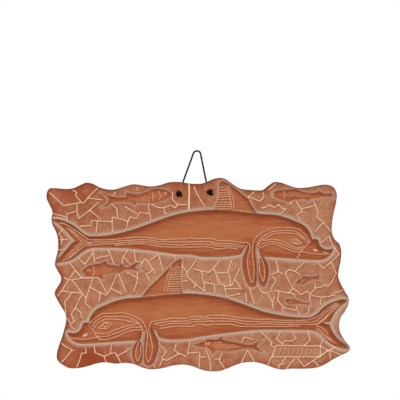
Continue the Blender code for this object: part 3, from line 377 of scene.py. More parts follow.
# Lines cut into each dolphin: its face, flippers, stripes, flukes and back fin
UPPER_LINES = [
    [(115.4, 26.6), (120.5, 25.7), (126, 24.6), (131, 24), (138, 23.9), (145.5, 24)], [(139, 26.5),
    (142.5, 25.5), (145, 24.4)], [(125.5, 38), (123.3, 36.6), (121.4, 34.1), (119, 31.6),
    (116.2, 28.4), (113.8, 25.9), (112.7, 23.3), (109.5, 18.5)], [(60.2, -7.8), (61.7, -5),
    (62.3, 0), (62.3, 8), (61.5, 15), (60.9, 22), (60.8, 30), (61, 36.6), (62.1, 38.2),
    (63.1, 40.5), (64.8, 42.5), (67.1, 44.8), (70, 47.1), (72.9, 48.9), (76.2, 50), (79.5, 51),
    (82.9, 52.5), (86.7, 53.1), (91, 53.2), (96.2, 53.3), (104.3, 53.3), (109.5, 52.3),
    (112.9, 51.2), (115.2, 49.6), (117.6, 47.3), (120, 45.1), (122.4, 42.3), (123.8, 39.4),
    (124.3, 37.6)], [(57.9, 32), (57.5, 28), (56.3, 24.5), (55.5, 20), (55.3, 12), (56, 5),
    (57.2, -1), (58.5, -5), (60.2, -7.8)], [(64.7, 18), (64.5, 26), (65, 31), (66.2, 35.1),
    (67.9, 38), (70, 40.9), (72.9, 43.4), (75.7, 45.3), (80.5, 47.8), (83.8, 49.1), (86.7, 49.4),
    (90.5, 50), (96.2, 50.2), (104.8, 50.1), (108.1, 49.3), (111.4, 47.6), (116.2, 43.9),
    (121, 39.8), (122.9, 36.9)], [(66.5, 34.5), (68.6, 36.8), (71.4, 39.4), (76.7, 42.6),
    (81.9, 45.7), (85.7, 46.6), (88.6, 47.3), (96.2, 47.5), (102.9, 47.3), (107.6, 46.9),
    (110.5, 46.2), (112.9, 44.3), (117.6, 40.5), (121.9, 35.9)], [(72.5, 38.9), (79, 40),
    (84, 40.3), (88, 40), (91.4, 38.7), (97.6, 36.4), (103.3, 33.7), (105.7, 32.3), (109, 30.9),
    (112.4, 30.7), (118.6, 31.8)], [(66.7, 31.8), (71.4, 35.1), (76.2, 36.6), (80, 37.6),
    (84.8, 37.6), (88.1, 36.9), (94.3, 34.4), (97.6, 33.4), (103.8, 30.9), (109, 29.1),
    (115.7, 29.4)], [(67.1, 29.6), (71, 31.6), (78.6, 34.3), (82.4, 35.3), (85.7, 35), (91, 33),
    (96.7, 30.5), (101.9, 28.4), (105.2, 27.1), (109.5, 26.4), (115.4, 26.6)], [(102.9, 38.7),
    (104.3, 39.8), (107.6, 40.9), (110, 40.1), (112.4, 38.4), (114.8, 36.6), (113.8, 35.5),
    (110, 35.1), (106.7, 35.9), (104.3, 36.9), (102.9, 38.7)], [(69, 17), (68.7, 8), (69.3, 2),
    (70.5, -2), (72.2, -6.6)], [(71, 19), (72.7, 14), (74, 8), (74.3, 0), (73.5, -4.5),
    (72.2, -6.6)], [(-154.6, 58.7), (-150.1, 58), (-143.1, 54.5), (-133.1, 48), (-124.6, 41.5),
    (-122.1, 40), (-119.6, 39.8), (-104, 39.8), (-88, 40.9), (-74, 42.5), (-67, 43.1), (-54, 42.1),
    (-42, 40), (-36, 39.8), (-27, 40.7), (-15, 41), (-9, 42), (-4, 41.1), (15, 41), (19, 40),
    (24, 38.7), (37, 38.6), (42, 37.5), (48, 36.7), (54.5, 36.7), (57.2, 35.4), (57.9, 32)],
    [(-142.6, 51.7), (-134.6, 45.2), (-126.6, 39.2), (-123.6, 37.7), (-119.6, 36.6), (-113, 37.4),
    (-102, 37.5), (-86, 38.8), (-68, 39.8), (-59, 39.9), (-53, 39.6), (-48, 38.7), (-43, 37.6),
    (-16, 37.4), (10, 37.7), (17, 36.2), (20, 35.4), (38, 35.4), (43, 34.3), (52, 33.2)],
    [(-150.6, 17.2), (-147.1, 18), (-142.6, 20.2), (-138.1, 23.7), (-129.6, 30.7), (-124.6, 33.2),
    (-116.6, 34.2), (-103, 35.3), (-92, 35.5), (-82, 36.8), (-74, 37.4), (-55, 37.5), (-48, 36.4),
    (-43.5, 35.2), (-28, 34.5), (-20, 34.1), (-10, 34.9), (6, 34.8), (17, 34), (20, 33.1), (39, 33),
    (43, 32), (50, 31.8)], [(-92, 33.6), (-70, 35.4), (-60, 35.3), (-51, 34.2), (-45.5, 33.2),
    (-39, 32), (-10, 31.8), (10, 32), (17, 30.8), (20, 30), (26, 29.8), (32, 30.8), (38, 30.7),
    (44, 29.7)], [(-145.6, 52.7), (-139.6, 47.2), (-134.6, 42.7), (-128.8, 37.5)], [(-128.8, 37.5),
    (-134.6, 33.2), (-139.6, 28.2), (-147.6, 20.2)], [(-119.6, 35.5), (-127.6, 35.2),
    (-132.1, 32.2), (-136.6, 27.7), (-143.6, 20.7)], [(32, 99), (34.3, 93), (35.8, 87.5),
    (36.6, 82), (37, 74)], [(33.5, 100), (36, 95.5), (37.8, 91), (39, 86.5), (39.7, 81),
    (40, 73.5)], [(18.5, 74), (37, 74.4)], [(18.5, 76.6), (37, 77)], [(20, 79), (36.5, 79.5)],
    [(21, 81.7), (36, 82.1)], [(22, 84.6), (36, 85)], [(22.9, 87.6), (35, 88)], [(23.6, 90.2),
    (34, 90.6)], [(23.9, 92.5), (33.5, 93)], [(24, 95.2), (33, 95.6)], [(24.2, 98), (30, 98.4)],
]
LOWER_LINES = [
    [(-121, -54.6), (-119.8, -52.3), (-117.9, -50.3), (-113.6, -46.7), (-108.8, -43.7),
    (-106.9, -42.6), (-102.6, -42.1), (-90, -41.7), (-84.5, -41.6), (-80.7, -42.3), (-73.6, -44.4),
    (-67.9, -46.5), (-63.1, -49.8), (-61.2, -51.7), (-59.5, -54.6), (-57.1, -60.3), (-56.4, -63.1),
    (-56.4, -68.1), (-57.1, -77.5), (-57.8, -84.4), (-57.8, -89.3), (-56.7, -94.9), (-55.4, -96.6)],
    [(-55.4, -96.6), (-53, -92.8), (-51.6, -87.2), (-50.9, -81), (-51.2, -76.1), (-52.3, -70.6),
    (-53.6, -65), (-54.7, -60.9), (-54.3, -57.4), (-53.6, -54.6), (-52, -51.2)], [(-118.3, -57.1),
    (-115.5, -52.6), (-113.6, -50.5), (-110.7, -48.3), (-107.4, -46.5), (-104.5, -45.5),
    (-96.4, -45.5), (-82.1, -45.6), (-75.5, -47.3), (-70.2, -49.9), (-66, -53.1), (-63.6, -56),
    (-62.1, -58.5), (-61.7, -61), (-61.7, -72)], [(-116.4, -59.6), (-115, -57.4), (-111.7, -53.1),
    (-109.3, -51.4), (-106, -49.6), (-103.1, -48.7), (-98.8, -48.3), (-90, -48.7), (-81.2, -49.6),
    (-78.3, -50.8), (-71.2, -52.1), (-66.4, -53.9)], [(-115, -63.9), (-111.2, -64.6),
    (-102.1, -64.6), (-96.4, -62.4), (-90.7, -59.9), (-84.5, -57.6), (-77.4, -55.5), (-73.6, -55.5),
    (-67.9, -53.9)], [(-114, -66.4), (-111.2, -67.6), (-106, -67.8), (-100.7, -67.4), (-95, -65.3),
    (-88.8, -63.3), (-86, -62.4), (-83.1, -61), (-77.4, -58.5), (-73.6, -57.6), (-63, -57.4)],
    [(-109.8, -70.3), (-106, -71.2), (-101.2, -71.2), (-94.5, -69.2), (-90.7, -67.8), (-84, -64.9),
    (-81.2, -63.3), (-77.4, -62.3), (-73.6, -61), (-63.1, -60.6)], [(-122.1, -56), (-120.2, -57.4),
    (-118.8, -59.6), (-116.9, -61), (-114.8, -64.9), (-112.1, -68.5), (-108.3, -72.1)],
    [(-145.5, -67.6), (-142, -69.2), (-137, -70.4), (-130, -70.8), (-124, -70.4), (-118, -69.7),
    (-113.1, -68.7)], [(-109.8, -58.1), (-106.4, -54.9), (-105, -53.5), (-103.1, -52.4),
    (-100.7, -52.1), (-98.3, -52.8), (-96.4, -54.2), (-98.3, -56.4), (-100.7, -58.5), (-104, -59.2),
    (-108.3, -59.2), (-109.8, -58.1)], [(-63.9, -76.5), (-63.6, -83.6), (-64.2, -88.4),
    (-65.4, -91.6), (-67.1, -95.4)], [(-65.9, -74.4), (-67.6, -78.6), (-68.9, -83.6),
    (-69.2, -90.1), (-68.4, -93.7), (-67.1, -95.4)], [(-52, -51.2), (-49, -50.6), (-35, -48.7),
    (-30.5, -47.5), (-14, -47.7), (-9.5, -46.4), (-4, -45.5), (5, -46.3), (11, -45.2), (15, -44.3),
    (32, -44.5), (38, -45.4), (43, -46.6), (53, -47.4), (64, -48.5), (79, -48.6), (90, -49.7),
    (118, -49.7), (125, -48.6), (130.7, -47.2), (134.4, -44.9), (138.1, -42.3), (140.9, -39.3),
    (144.7, -36), (147.5, -34.6), (150.7, -32.4), (154.3, -30)], [(-48, -53.1), (-37.6, -51.9),
    (-33.5, -50.9), (-16, -50.9), (-10.9, -50.1), (-6.8, -48.7), (6.2, -48.4), (11.7, -47.7),
    (30.2, -47.7), (45.8, -49.7), (53.3, -50.9), (81.4, -51.5), (89.6, -52.1), (117.7, -51.9),
    (127.9, -51.2), (132.5, -50), (136.3, -46.7), (140, -43.9), (142.8, -40.7), (147.5, -36.9),
    (150.3, -35.1), (155.4, -31.1)], [(-49.3, -54.1), (-42.4, -55.2), (-37.6, -55.2),
    (-30.8, -53.3), (-10.9, -53.2), (-8.2, -51.9), (2.8, -51), (37, -50.9), (46.4, -53.1),
    (59.5, -54.4), (73.8, -53.4), (90.3, -54.4), (130.7, -54.2), (133.9, -52.3), (138.1, -49.5),
    (141.4, -46.7), (146.1, -41.6), (147.9, -39.3), (150.3, -37.4), (156.6, -31.8)], [(-43, -59),
    (-25.3, -56.6), (-8.2, -56.6), (-4.1, -55.4), (1.4, -54.2), (11.7, -55.4), (15.1, -54.3),
    (36.3, -54.3), (47.5, -56.5), (82.1, -56.7), (112.2, -56.5)], [(132.1, -54.2), (136.7, -51.9),
    (140, -50), (142.8, -47.2), (147.5, -42.1), (149.8, -40.2), (154.5, -36), (157.6, -32.6)],
    [(132.1, -55.1), (138.1, -58.4), (140.9, -60.7), (144.7, -64.9)], [(132.5, -57.9),
    (135.3, -60.3), (141.4, -65.9), (144.7, -68.7), (148.4, -71)], [(130.7, -59.8), (136.3, -64.2),
    (142.8, -69.6), (146.5, -71.5), (154, -75.7)], [(-27.3, 8.5), (-29.5, 4), (-30.8, 0.5),
    (-31.9, -4), (-32.8, -9), (-34.2, -18)], [(-29.3, 10.5), (-31.8, 5.5), (-33.6, 0.5),
    (-34.8, -4.5), (-35.8, -9.5), (-37.5, -18)], [(-19.4, 9.2), (-25.4, 8.9)], [(-19.4, 6.5),
    (-27.2, 6.2)], [(-19.4, 3.9), (-28.2, 3.6)], [(-19.4, 1.3), (-29.2, 1)], [(-19.4, -1.4),
    (-30, -1.7)], [(-19.4, -4), (-30.6, -4.3)], [(-19.4, -6.8), (-31.2, -7.1)], [(-18, -9.2),
    (-31.8, -9.5)], [(-17.8, -11.9), (-32.2, -12.2)], [(-17.6, -14.6), (-32.4, -14.9)],
    [(-17.4, -16.9), (-32.8, -17.2)],
]
FISH_LINES = [
    [(-51.5, 93), (-49.8, 88), (-50.5, 83)],
    [(-44, 94), (-42, 89), (-43, 84)],
    [(95, 94), (97, 90), (96, 85.5)],
    [(-117.5, 10), (-115.8, 6), (-116, 2), (-117.3, -0.6)],
    [(8.3, -73.6), (9, -78), (10.2, -82.6)],
    [(115.5, -3.6), (116.6, -6), (115.8, -8.6)],
    [(102.6, -27.4), (103.4, -29.4), (102.8, -31)],
]
# Lines of the paving
CRACKS = [
    [(-165.7, 92.3), (-149.8, 77.6), (-139.6, 79.6), (-130, 81.6)], [(-139.6, 95.2), (-135.8, 93.1),
    (-136.7, 89), (-129.6, 81.2), (-126.8, 81.2), (-122.3, 87.7), (-111.8, 97.6)], [(-122.2, 86),
    (-107.2, 84.4)], [(-135, 80.3), (-135.1, 70.6), (-133, 63.6), (-122, 71.8), (-110.8, 81.7)],
    [(-120.6, 72.4), (-108.4, 62.6)], [(-136.2, 71.8), (-146.2, 68.5), (-146.2, 64.1)],
    [(-131.5, 55.2), (-119.6, 55.6), (-118.8, 61.3), (-95.8, 59.8), (-95.7, 65), (-86.6, 62.8),
    (-79, 60.5)], [(-112.3, 60.4), (-113.9, 46.4)], [(-95.8, 59.8), (-95.6, 47.9)], [(-96.6, 79.4),
    (-90.6, 74.7), (-89.8, 64.9)], [(-81.6, 77), (-68.4, 68.6)], [(-80.4, 51.5), (-78.5, 59.6),
    (-75.9, 65.4), (-68.6, 63.1), (-65.3, 70.2), (-55.4, 68.8)], [(-55.4, 80.2), (-55.3, 75.8),
    (-52.4, 61.3)], [(-52.2, 79.4), (-45, 75.8), (-37.1, 75.2), (-31.6, 78.4), (-25.2, 75.3),
    (-22.8, 79.1), (-12.7, 78.8)], [(-28.6, 92.8), (-28.5, 84.8), (-22.8, 79)], [(-4.7, 99),
    (-1.8, 91.8), (3.6, 83.2), (8.4, 76)], [(62.6, 93.2), (55.6, 86.8), (59.6, 86.6), (69, 82.8),
    (73.6, 87.1), (72.9, 92.2)], [(78.6, 95.4), (87, 102.2)], [(70, 75.4), (74.6, 75.7),
    (79.8, 78.8), (85.2, 75.7), (89.9, 79.1), (94.4, 74.6), (98.3, 74.4), (92, 68.5)],
    [(109.9, 82.4), (116.7, 70.9), (110.2, 67.6), (114.5, 60.4)], [(115.6, 74), (130.7, 77.9)],
    [(128.7, 84), (134.4, 70), (132.4, 65.4), (138, 61.1), (148.4, 49.2)], [(140, 59.2),
    (130.8, 48.6)], [(137.2, 36.4), (146.4, 43.3), (150.4, 33.2), (157.6, 23.4), (148.2, 14.4),
    (139.6, 7.7), (133.7, 14.7)], [(149.4, 14.4), (154.3, 1.4)], [(118.9, 14.7), (108.3, 4.4),
    (114.2, 0.2)], [(108.3, 4.4), (101.8, 6.2), (97.2, 2.5)], [(87.4, 16.2), (89.4, 4.4),
    (94.6, 1.4)], [(-151.2, 50.8), (-155.5, 46.6), (-151.2, 40.8), (-153.1, 34.8)], [(-134.8, 20.5),
    (-126.2, 12), (-117, 25.8), (-117, 29)], [(-117, 25.8), (-115.5, 14)], [(-115, 18.5),
    (-108, 20.5), (-100, 22)], [(-100.5, 28.5), (-93.5, 12.2)], [(-143.3, 14), (-137.1, 5.6),
    (-132, -0.2)], [(-37.5, 74), (-37.6, 73), (-37.6, 70.2), (-37.2, 69.8), (-33.5, 68.6)],
    [(-162, 69.2), (-147.4, 65.2)], [(-162, 65), (-147.2, 62.2)], [(-146.1, 66.5), (-146.1, 59.7)],
    [(-154.9, 28.6), (-147, 28.6)], [(-92.3, 92.8), (-94.7, 88.7)], [(-67.6, 98.2), (-68, 95.5)],
    [(-153.8, 39.8), (-146, 39.8)], [(-77.8, 29), (-81, 23.8), (-84.8, 18.2), (-84.5, 13.5)],
    [(-82.5, 20), (-75, 12)], [(-71.2, 28), (-69.8, 15.8), (-63.8, 14.2), (-62, 13.8)], [(-62, 15),
    (-64.2, 8.2)], [(-59.5, 18.8), (-55, 13.8), (-50.8, 7.2), (-48, 2)], [(-59.5, 18.8),
    (-62.5, 13.5)], [(-55, 16), (-44, 23.5), (-41.5, 13.5), (-39, 5)], [(-50.8, 7.2), (-53.5, 3.2),
    (-58, 1.8)], [(-58, 1.8), (-53.8, -6.2)], [(-79.8, 3.8), (-67.8, -3.2), (-67.8, 3)],
    [(-67, -2.2), (-69.2, -10), (-71.8, -18.5)], [(-88.5, 1), (-84, -10), (-80.5, -18.8)],
    [(-28, 22.5), (-24.5, 17.2)], [(-19.5, 13.5), (-12.2, 2.8), (-2, 17)], [(-12.2, 2.8),
    (-11.8, -1.2), (-1, -11.2), (6.5, -17.2)], [(-11.8, -6), (-17, -6.5)], [(-4.8, -14.2),
    (-3, -11)], [(-5.2, 7.5), (3.8, 4.8), (12.2, 3.2), (17.5, 8.2), (24, 16.5)], [(3.8, 4.8),
    (5.2, -4.2), (6.8, -9), (7.5, -17.5)], [(8, -8.2), (18, -10), (19, -19.5)], [(17.5, 8.2),
    (20.2, 1), (23.8, -10.2), (29.2, -11.2), (31, -19)], [(21, 2.5), (32.8, 3), (35, 0.8),
    (36.5, -10.5)], [(32.8, 3), (38, 17)], [(30, -12), (38, -11.5)], [(38, -11.5), (41.2, -4),
    (46, 7.5)], [(41.5, -5), (48, -14.5)], [(31, -15), (48, -15.2)], [(57.2, -13.2), (59, -20),
    (63, -32)], [(66, -11), (72, -19.5)], [(83, -1), (87.2, -5.8), (82.5, -13), (80.8, -18.8)],
    [(87.2, 16.2), (89.8, 4.2), (82, 1)], [(-149.8, -2.2), (-145.5, -5.2)], [(-141, 11),
    (-137.8, 6.2), (-130, -2.5)], [(-142, -5.2), (-130, -3.2), (-116.8, -2.8), (-111.8, -3)],
    [(-141, -5), (-134.8, -12.5), (-130, -20), (-124.8, -25.5), (-126.2, -30.5), (-120, -36.8)],
    [(-117.5, -3.2), (-121, -13.5), (-124.8, -25)], [(-120, -13.5), (-110.5, -19), (-102, -22.2)],
    [(-111.5, -2.8), (-106.2, -12), (-101.2, -20.8)], [(-101.2, -20.8), (-97.2, -14.2), (-91, 0)],
    [(-97, -14.5), (-88.5, -19.2), (-84.2, -21.2)], [(-109, -19), (-110.5, -30)], [(-151.5, -17.2),
    (-141, -19), (-130, -19.8)], [(-141.2, -19.5), (-146, -27), (-149, -29.2), (-148, -38.5),
    (-147.5, -46), (-141.8, -54.5), (-141.2, -54.2), (-138, -51.8), (-141.5, -43.5), (-136.8, -36),
    (-133.2, -28), (-129.5, -21.2)], [(-137, -36.5), (-130.5, -41.8), (-130.5, -45.8),
    (-128, -47.8)], [(-143, -55.8), (-138.5, -59.8)], [(-152, -76), (-147, -80), (-139.2, -84.2)],
    [(-140.5, -83), (-146.8, -91), (-152, -96.5)], [(-126, -81), (-124.5, -86.5), (-130, -87),
    (-132, -94), (-135.2, -102.2)], [(-116.2, -78), (-114.8, -86.2), (-105, -90.5), (-97, -87),
    (-92.5, -86.5), (-86.5, -96.8)], [(-105, -90.5), (-103, -96.2)], [(-96.8, -78), (-98, -86)],
    [(-89.8, -89.8), (-80.5, -84.8), (-75.8, -81.2)], [(-43.8, -76.5), (-40.2, -80.2),
    (-35.5, -85.2), (-38.5, -89.8), (-41, -91.2), (-39.2, -93.5), (-42.8, -100.8)], [(-39.2, -93.5),
    (-34.5, -95), (-22, -87.8), (-18.5, -88), (-12.8, -90.8)], [(-24, -76), (-26.5, -84),
    (-21.5, -87)], [(-51.5, -98), (-48, -102.5)], [(-12, -88.5), (-8.8, -73)], [(-11, -87),
    (0, -86)], [(3, -91.2), (8, -91.2)], [(1.2, -103), (2, -86)], [(14.2, -105.8), (13.5, -95.2),
    (9.2, -83.2)], [(29.8, -104), (23.8, -95.5), (25.2, -90.8), (27, -87)], [(19, -93.8),
    (24.2, -93.2)], [(48, -98.2), (55.5, -83.8), (55.5, -83.5), (63, -96.5)], [(61.2, -64),
    (59.8, -69)], [(51, -69.2), (48.5, -75)], [(50.2, -70.2), (53.5, -69), (62, -71.8)], [(70, -63),
    (82.5, -74.8), (81, -77.8), (85.2, -80.5)], [(78, -99.8), (84.2, -86.2)], [(31, -20),
    (32.5, -23.8), (40, -22), (47, -20.2)], [(53, -20), (54.5, -29)], [(71.8, -19.5), (77.2, -19.8),
    (83.2, -30.2), (83.5, -37.5)], [(83.2, -30.2), (85.5, -24)], [(97.5, 3), (99.5, -2.5),
    (103.2, -9.5), (106.2, -14.5)], [(106.2, -14.5), (101.5, -20), (90, -17.5), (85, -17.2)],
    [(106.2, -14.5), (111.2, -18.2), (114.8, -21.5), (122.2, -17.8), (125, -21), (130.8, -14.8),
    (130.2, -8.5)], [(125, -21), (124.8, -29)], [(131, -14), (138, -12.8), (141, -10.2),
    (145.5, -12.5), (149, -8), (153.2, 0.5)], [(90.5, -18), (88.8, -27.8), (95, -35.5),
    (94.2, -42.5)], [(95, -36), (109, -39)], [(110, -34), (110.5, -37.5), (113, -44.2)],
    [(101.2, -19), (108, -21.8), (108.2, -25)], [(123.8, -35), (123.8, -40.8), (120.5, -44)],
    [(127, -22.5), (137.2, -24.5), (147.2, -23.5), (151.2, -21.8), (154, -23.5)], [(151.2, -20.5),
    (161.5, -16.8)], [(137.2, -26), (136.5, -33)], [(91.5, -64.2), (87.5, -71), (94.5, -77)],
    [(105, -64), (109.8, -70), (104, -73.5), (96.5, -73), (94.5, -76.8)], [(122.2, -62.8),
    (125, -70.2), (124.8, -72.8), (118.5, -78)], [(136.5, -77.8), (140.5, -70.8)], [(146, -83.2),
    (160, -89)], [(146.8, -83.5), (153, -80.8)], [(145.2, -84.8), (136.8, -89.2), (128.8, -95),
    (118.2, -101.8), (111, -92.5)], [(128.8, -95), (134.5, -101.2)], [(108.5, -92.5),
    (98.5, -104.8)], [(97.5, -92.5), (94.5, -95.5), (94.8, -98.8), (90, -100.8), (90.2, -103.8)],
    [(147, -84.5), (148, -93)], [(145.5, -84.8), (152.2, -80.5)],
    [(-137.5, 5), (-143, -3), (-149, -12), (-153, -19), (-157, -23)],
]
BROAD_CRACK = [(-10.1, 102), (-9.8, 90), (-10.4, 73.5)]
# The small panel's frame, and the row of plain slanted strokes in it
PANEL_LINES = [
    [(87.5, -78.4), (138, -78.8)],
    [(83, -91), (137, -91)],
    [(87.5, -78.4), (82.8, -91)],
    [(136.8, -79), (136.8, -91)],
    [(137.5, -79.5), (145, -84), (137.5, -90)],
]
PANEL_CORNERS = [(87.5, -78.4), (138, -78.8), (137, -91), (82.8, -91)]
STROKE_PLACES = np.arange(90.5, 131, 4.9)
STROKE_FOOT, STROKE_HEAD, STROKE_LEAN = -88.6, -81.4, 2.4
OUTLINE_STEP = 1.4
LINE_POINT_STEP = 2.0
WANDER = 0.22
WANDER_SIZE = 7.0


def outline(runs):
    """A closed outline of smooth runs; each starts at the corner where the one before ends."""
    return np.concatenate([smooth([before[-1]] + run, OUTLINE_STEP)[:-1]
                           for before, run in zip([runs[-1]] + runs[:-1], runs)]) * scale


def uneven(x, z, size, layer=0.5):
    """Smooth unevenness of a size in millimetres, about -1 to 1, at one place."""
    return noise.noise(Vector((x / size, z / size, layer)))


def by_hand(line):
    """A line as a hand cuts it, never quite true."""
    line = np.array(line) * scale
    drift = [(uneven(x, z, WANDER_SIZE, 1.5), uneven(x, z, WANDER_SIZE, 4.5)) for x, z in line]
    return line + np.array(drift) * WANDER


def drawn(points):
    """A curved line through the points, cut by hand."""
    return by_hand(smooth(points, LINE_POINT_STEP))


def ruled(points):
    """A line that runs straight from point to point, as the paving's do, cut by hand."""
    runs = [smooth(pair, LINE_POINT_STEP) for pair in zip(points[:-1], points[1:])]
    return by_hand(np.concatenate([run[:-1] for run in runs] + [runs[-1][-1:]]))


def turned(points):
    """The places of a dolphin's points on the lower dolphin."""
    return [(TURN_X - x, z - TURN_DROP) for x, z in points]


def shortened(points, share):
    """Flipper points with the part below the root shortened."""
    return [(x, z if z > FLIPPER_ROOT else FLIPPER_ROOT + (z - FLIPPER_ROOT) * share)
            for x, z in points]


bodies, fins, flippers = [], [], []
for rear, fin, share, put in ((UPPER_REAR, UPPER_FIN, 1.0, list),
                              (LOWER_REAR, LOWER_FIN, LOWER_FLIPPER_SHARE, turned)):
    bodies.append(outline([put(run) for run in HEAD_RUNS + [CHIN] + FLIPPER_NOTCH + rear]))
    fins.append(outline([put(run) for run in fin]))
    flippers += [outline([put(shortened(flipper, share))])
                 for flipper in (LONG_FLIPPER, SHORT_FLIPPER)]

IRIS = [(105.5, 38.2), (107.5, 39.3), (110, 39.3), (112.3, 37.6), (110, 36.3), (107.5, 36.6),
        (105.5, 38.2)]
FAINT_RING = ((-122, 6.5), 1.2)
# The eyes of three fish and of the lower dolphin are rings, one of them faint. The fish's
# scales are rows of short ticks: the rows' heights, where a row starts, ends and steps, how
# far it moves over for its height, and the ticks' length. One fish has long stripes.
EYE_RINGS = (((-36.2, 91.6), 1.3), ((12, -76), 1.2), ((-103.4, -54.8), 2.5))
TICKS = (
    ((88.5, 86.1, 83.7, 81.5), (-68.5, -57, 3.0), 0.0, 1.9),
    ((93, 90, 87, 84, 82), (-56, -55, 3.0), 0.0, 2.2),
    ((9.2, 6.4, 3.8), (-108, -93, 3.6), 0.5, 1.6),
    ((92.5, 90.2, 87.9), (156, 180, 3.4), -0.6, 1.5),
    ((-28.2, -30.2), (96, 110, 2.8), -0.3, 1.3),
    ((-3.6, -6), (119, 130, 2.8), 0.2, 1.3),
)
STRIPES = [(18.0, -75, 8), (18.0, -77.4, 22), (18.0, -79.8, 27), (18.0, -82.2, 18)]
TICK_RISE = 0.3
ticks = [(x + lean * z, z, length) for rows, row, lean, length in TICKS
         for z in rows for x in np.arange(*row)]
cut_lines = [drawn(line) for line in UPPER_LINES + LOWER_LINES]
small_lines = [drawn(line) for line in FISH_LINES]
small_lines += [by_hand(ring(centre, radius)) for centre, radius in EYE_RINGS]
small_lines += [ruled([(x, STROKE_FOOT), (x + STROKE_LEAN, STROKE_HEAD)])
                for x in STROKE_PLACES]
scale_lines = [drawn([(x, z), (x + length, z + TICK_RISE)]) for x, z, length in ticks + STRIPES]
scale_lines += [drawn(IRIS), by_hand(ring(*FAINT_RING))]
# A dab of thick slip stands for the nostril at the corner of each beak and for one fish's eye
DABS = [[(129.4, 28.9), (132.2, 27.9)], [(-127.2, -67), (-124.2, -65.4)],
        [(103.2, 81.3), (103.8, 81.3)]]
dabs = [drawn(line) for line in DABS]

HOLE_SIDES = 28
paving = [ruled(line) for line in CRACKS]
broad_paving = [ruled(BROAD_CRACK)]
panel = [ruled(line) for line in PANEL_LINES]
panel_loop = ruled(PANEL_CORNERS)
edge = smooth(EDGE, OUTLINE_STEP, closed=True) * scale
fish = [outline(runs) for runs in FISH.values()]
holes = [np.array(ring((hole[0] * scale, hole[1] * scale), HOLE_DIAMETER / 2, HOLE_SIDES)[:-1])
         for hole in (LEFT_HOLE, RIGHT_HOLE)]


def nearest(points, lines, reach, closed=False):
    """Each point's distance to the lines, up to the reach, and the nearest place on them."""
    order = np.argsort(points[:, 0])
    ranked = points[order]
    gap = np.full(len(points), float(reach))
    spot = ranked.copy()
    for line in lines:
        ends = np.roll(line, -1, axis=0) if closed else line[1:]
        for start, end in zip(line, ends):
            low, high = np.minimum(start, end) - reach, np.maximum(start, end) + reach
            first, last = np.searchsorted(ranked[:, 0], (low[0], high[0]))
            rows = first + np.flatnonzero(
                (ranked[first:last, 1] > low[1]) & (ranked[first:last, 1] < high[1]))
            if not len(rows):
                continue
            along = end - start
            offset = ranked[rows] - start
            share = np.clip(offset @ along / max(float(along @ along), 1e-12), 0, 1)
            place = start + share[:, None] * along
            far = np.hypot(*(ranked[rows] - place).T)
            closer = far < gap[rows]
            gap[rows[closer]] = far[closer]
            spot[rows[closer]] = place[closer]
    back = np.argsort(order)
    return gap[back], spot[back]


def inside(points, loop):
    """Whether each point lies inside a closed outline."""
    within = np.zeros(len(points), bool)
    low, high = loop.min(axis=0), loop.max(axis=0)
    rows = np.flatnonzero(((points > low) & (points < high)).all(axis=1))
    x, z = points[rows, 0], points[rows, 1]
    odd = np.zeros(len(rows), bool)
    for (x0, z0), (x1, z1) in zip(loop, np.roll(loop, -1, axis=0)):
        if z0 != z1:
            odd ^= ((z0 > z) != (z1 > z)) & (x < (x1 - x0) * (z - z0) / (z1 - z0) + x0)
    within[rows] = odd
    return within


def middles(faces):
    """The middle of each face, seen from the front."""
    return np.array([face.calc_center_median()[:2] for face in faces])


# The slab starts as a plain sheet of square cells, which are split twice where something is
# drawn, and the cells outside the cut edge and in the holes are taken out
CELL = 2.8
SPLIT_REACHES = (3.3, 1.75)
figures = bodies + fins + flippers + fish
closed_guides = figures + [edge] + holes
open_guides = cut_lines + small_lines + scale_lines + paving + broad_paving + panel + dabs
low, high = edge.min(axis=0) - CELL / 2, edge.max(axis=0) + CELL / 2
cells = np.ceil((high - low) / CELL).astype(int)
slab = bmesh.new()
FINISHES_AND_SHADE = ("cut_gap", "crack_gap", "dab", "slip", "halo", "shade", "figure", "worn_and_lit")
layers = {name: slab.verts.layers.float.new(name) for name in FINISHES_AND_SHADE}
bmesh.ops.create_grid(
    slab, x_segments=int(cells[0]), y_segments=int(cells[1]), size=0.5,
    matrix=Matrix.Translation((*((low + high) / 2), 0.0))
    @ Matrix.Diagonal((cells[0] * CELL, cells[1] * CELL, 1.0, 1.0)))
for reach in SPLIT_REACHES:
    faces = list(slab.faces)
    centres = middles(faces)
    near = (nearest(centres, open_guides, reach)[0] < reach) | (
        nearest(centres, closed_guides, reach, True)[0] < reach)
    sides = dict.fromkeys(side for face, wanted in zip(faces, near) if wanted
                          for side in face.edges)
    bmesh.ops.subdivide_edges(slab, edges=list(sides), cuts=1, use_grid_fill=True)
faces = list(slab.faces)
centres = middles(faces)
outside = ~inside(centres, edge)
for hole in holes:
    outside |= inside(centres, hole)
bmesh.ops.delete(slab, geom=[face for face, out in zip(faces, outside) if out],
                 context="FACES")

# Points near an outline or a line are drawn onto it, so that each edge and groove runs clean
SNAP = 0.36
WELD = 0.14
verts = list(slab.verts)
flat = np.array([vert.co[:2] for vert in verts])
border = np.array([vert.is_boundary for vert in verts])
for lines, closed in ((figures, True), (open_guides, False)):
    gap, spot = nearest(flat, lines, SNAP, closed)
    moved = (gap < SNAP) & ~border
    flat[moved] = spot[moved]
flat[border] = nearest(flat[border], [edge] + holes, CELL, True)[1]
for vert, place in zip(verts, flat):
    vert.co[:2] = place
bmesh.ops.remove_doubles(slab, verts=verts, dist=WELD)
bmesh.ops.dissolve_degenerate(slab, edges=list(slab.edges), dist=WELD / 4)
bmesh.ops.triangulate(slab, faces=list(slab.faces), quad_method="SHORT_EDGE",
                      ngon_method="BEAUTY")

verts = list(slab.verts)
flat = np.array([vert.co[:2] for vert in verts])


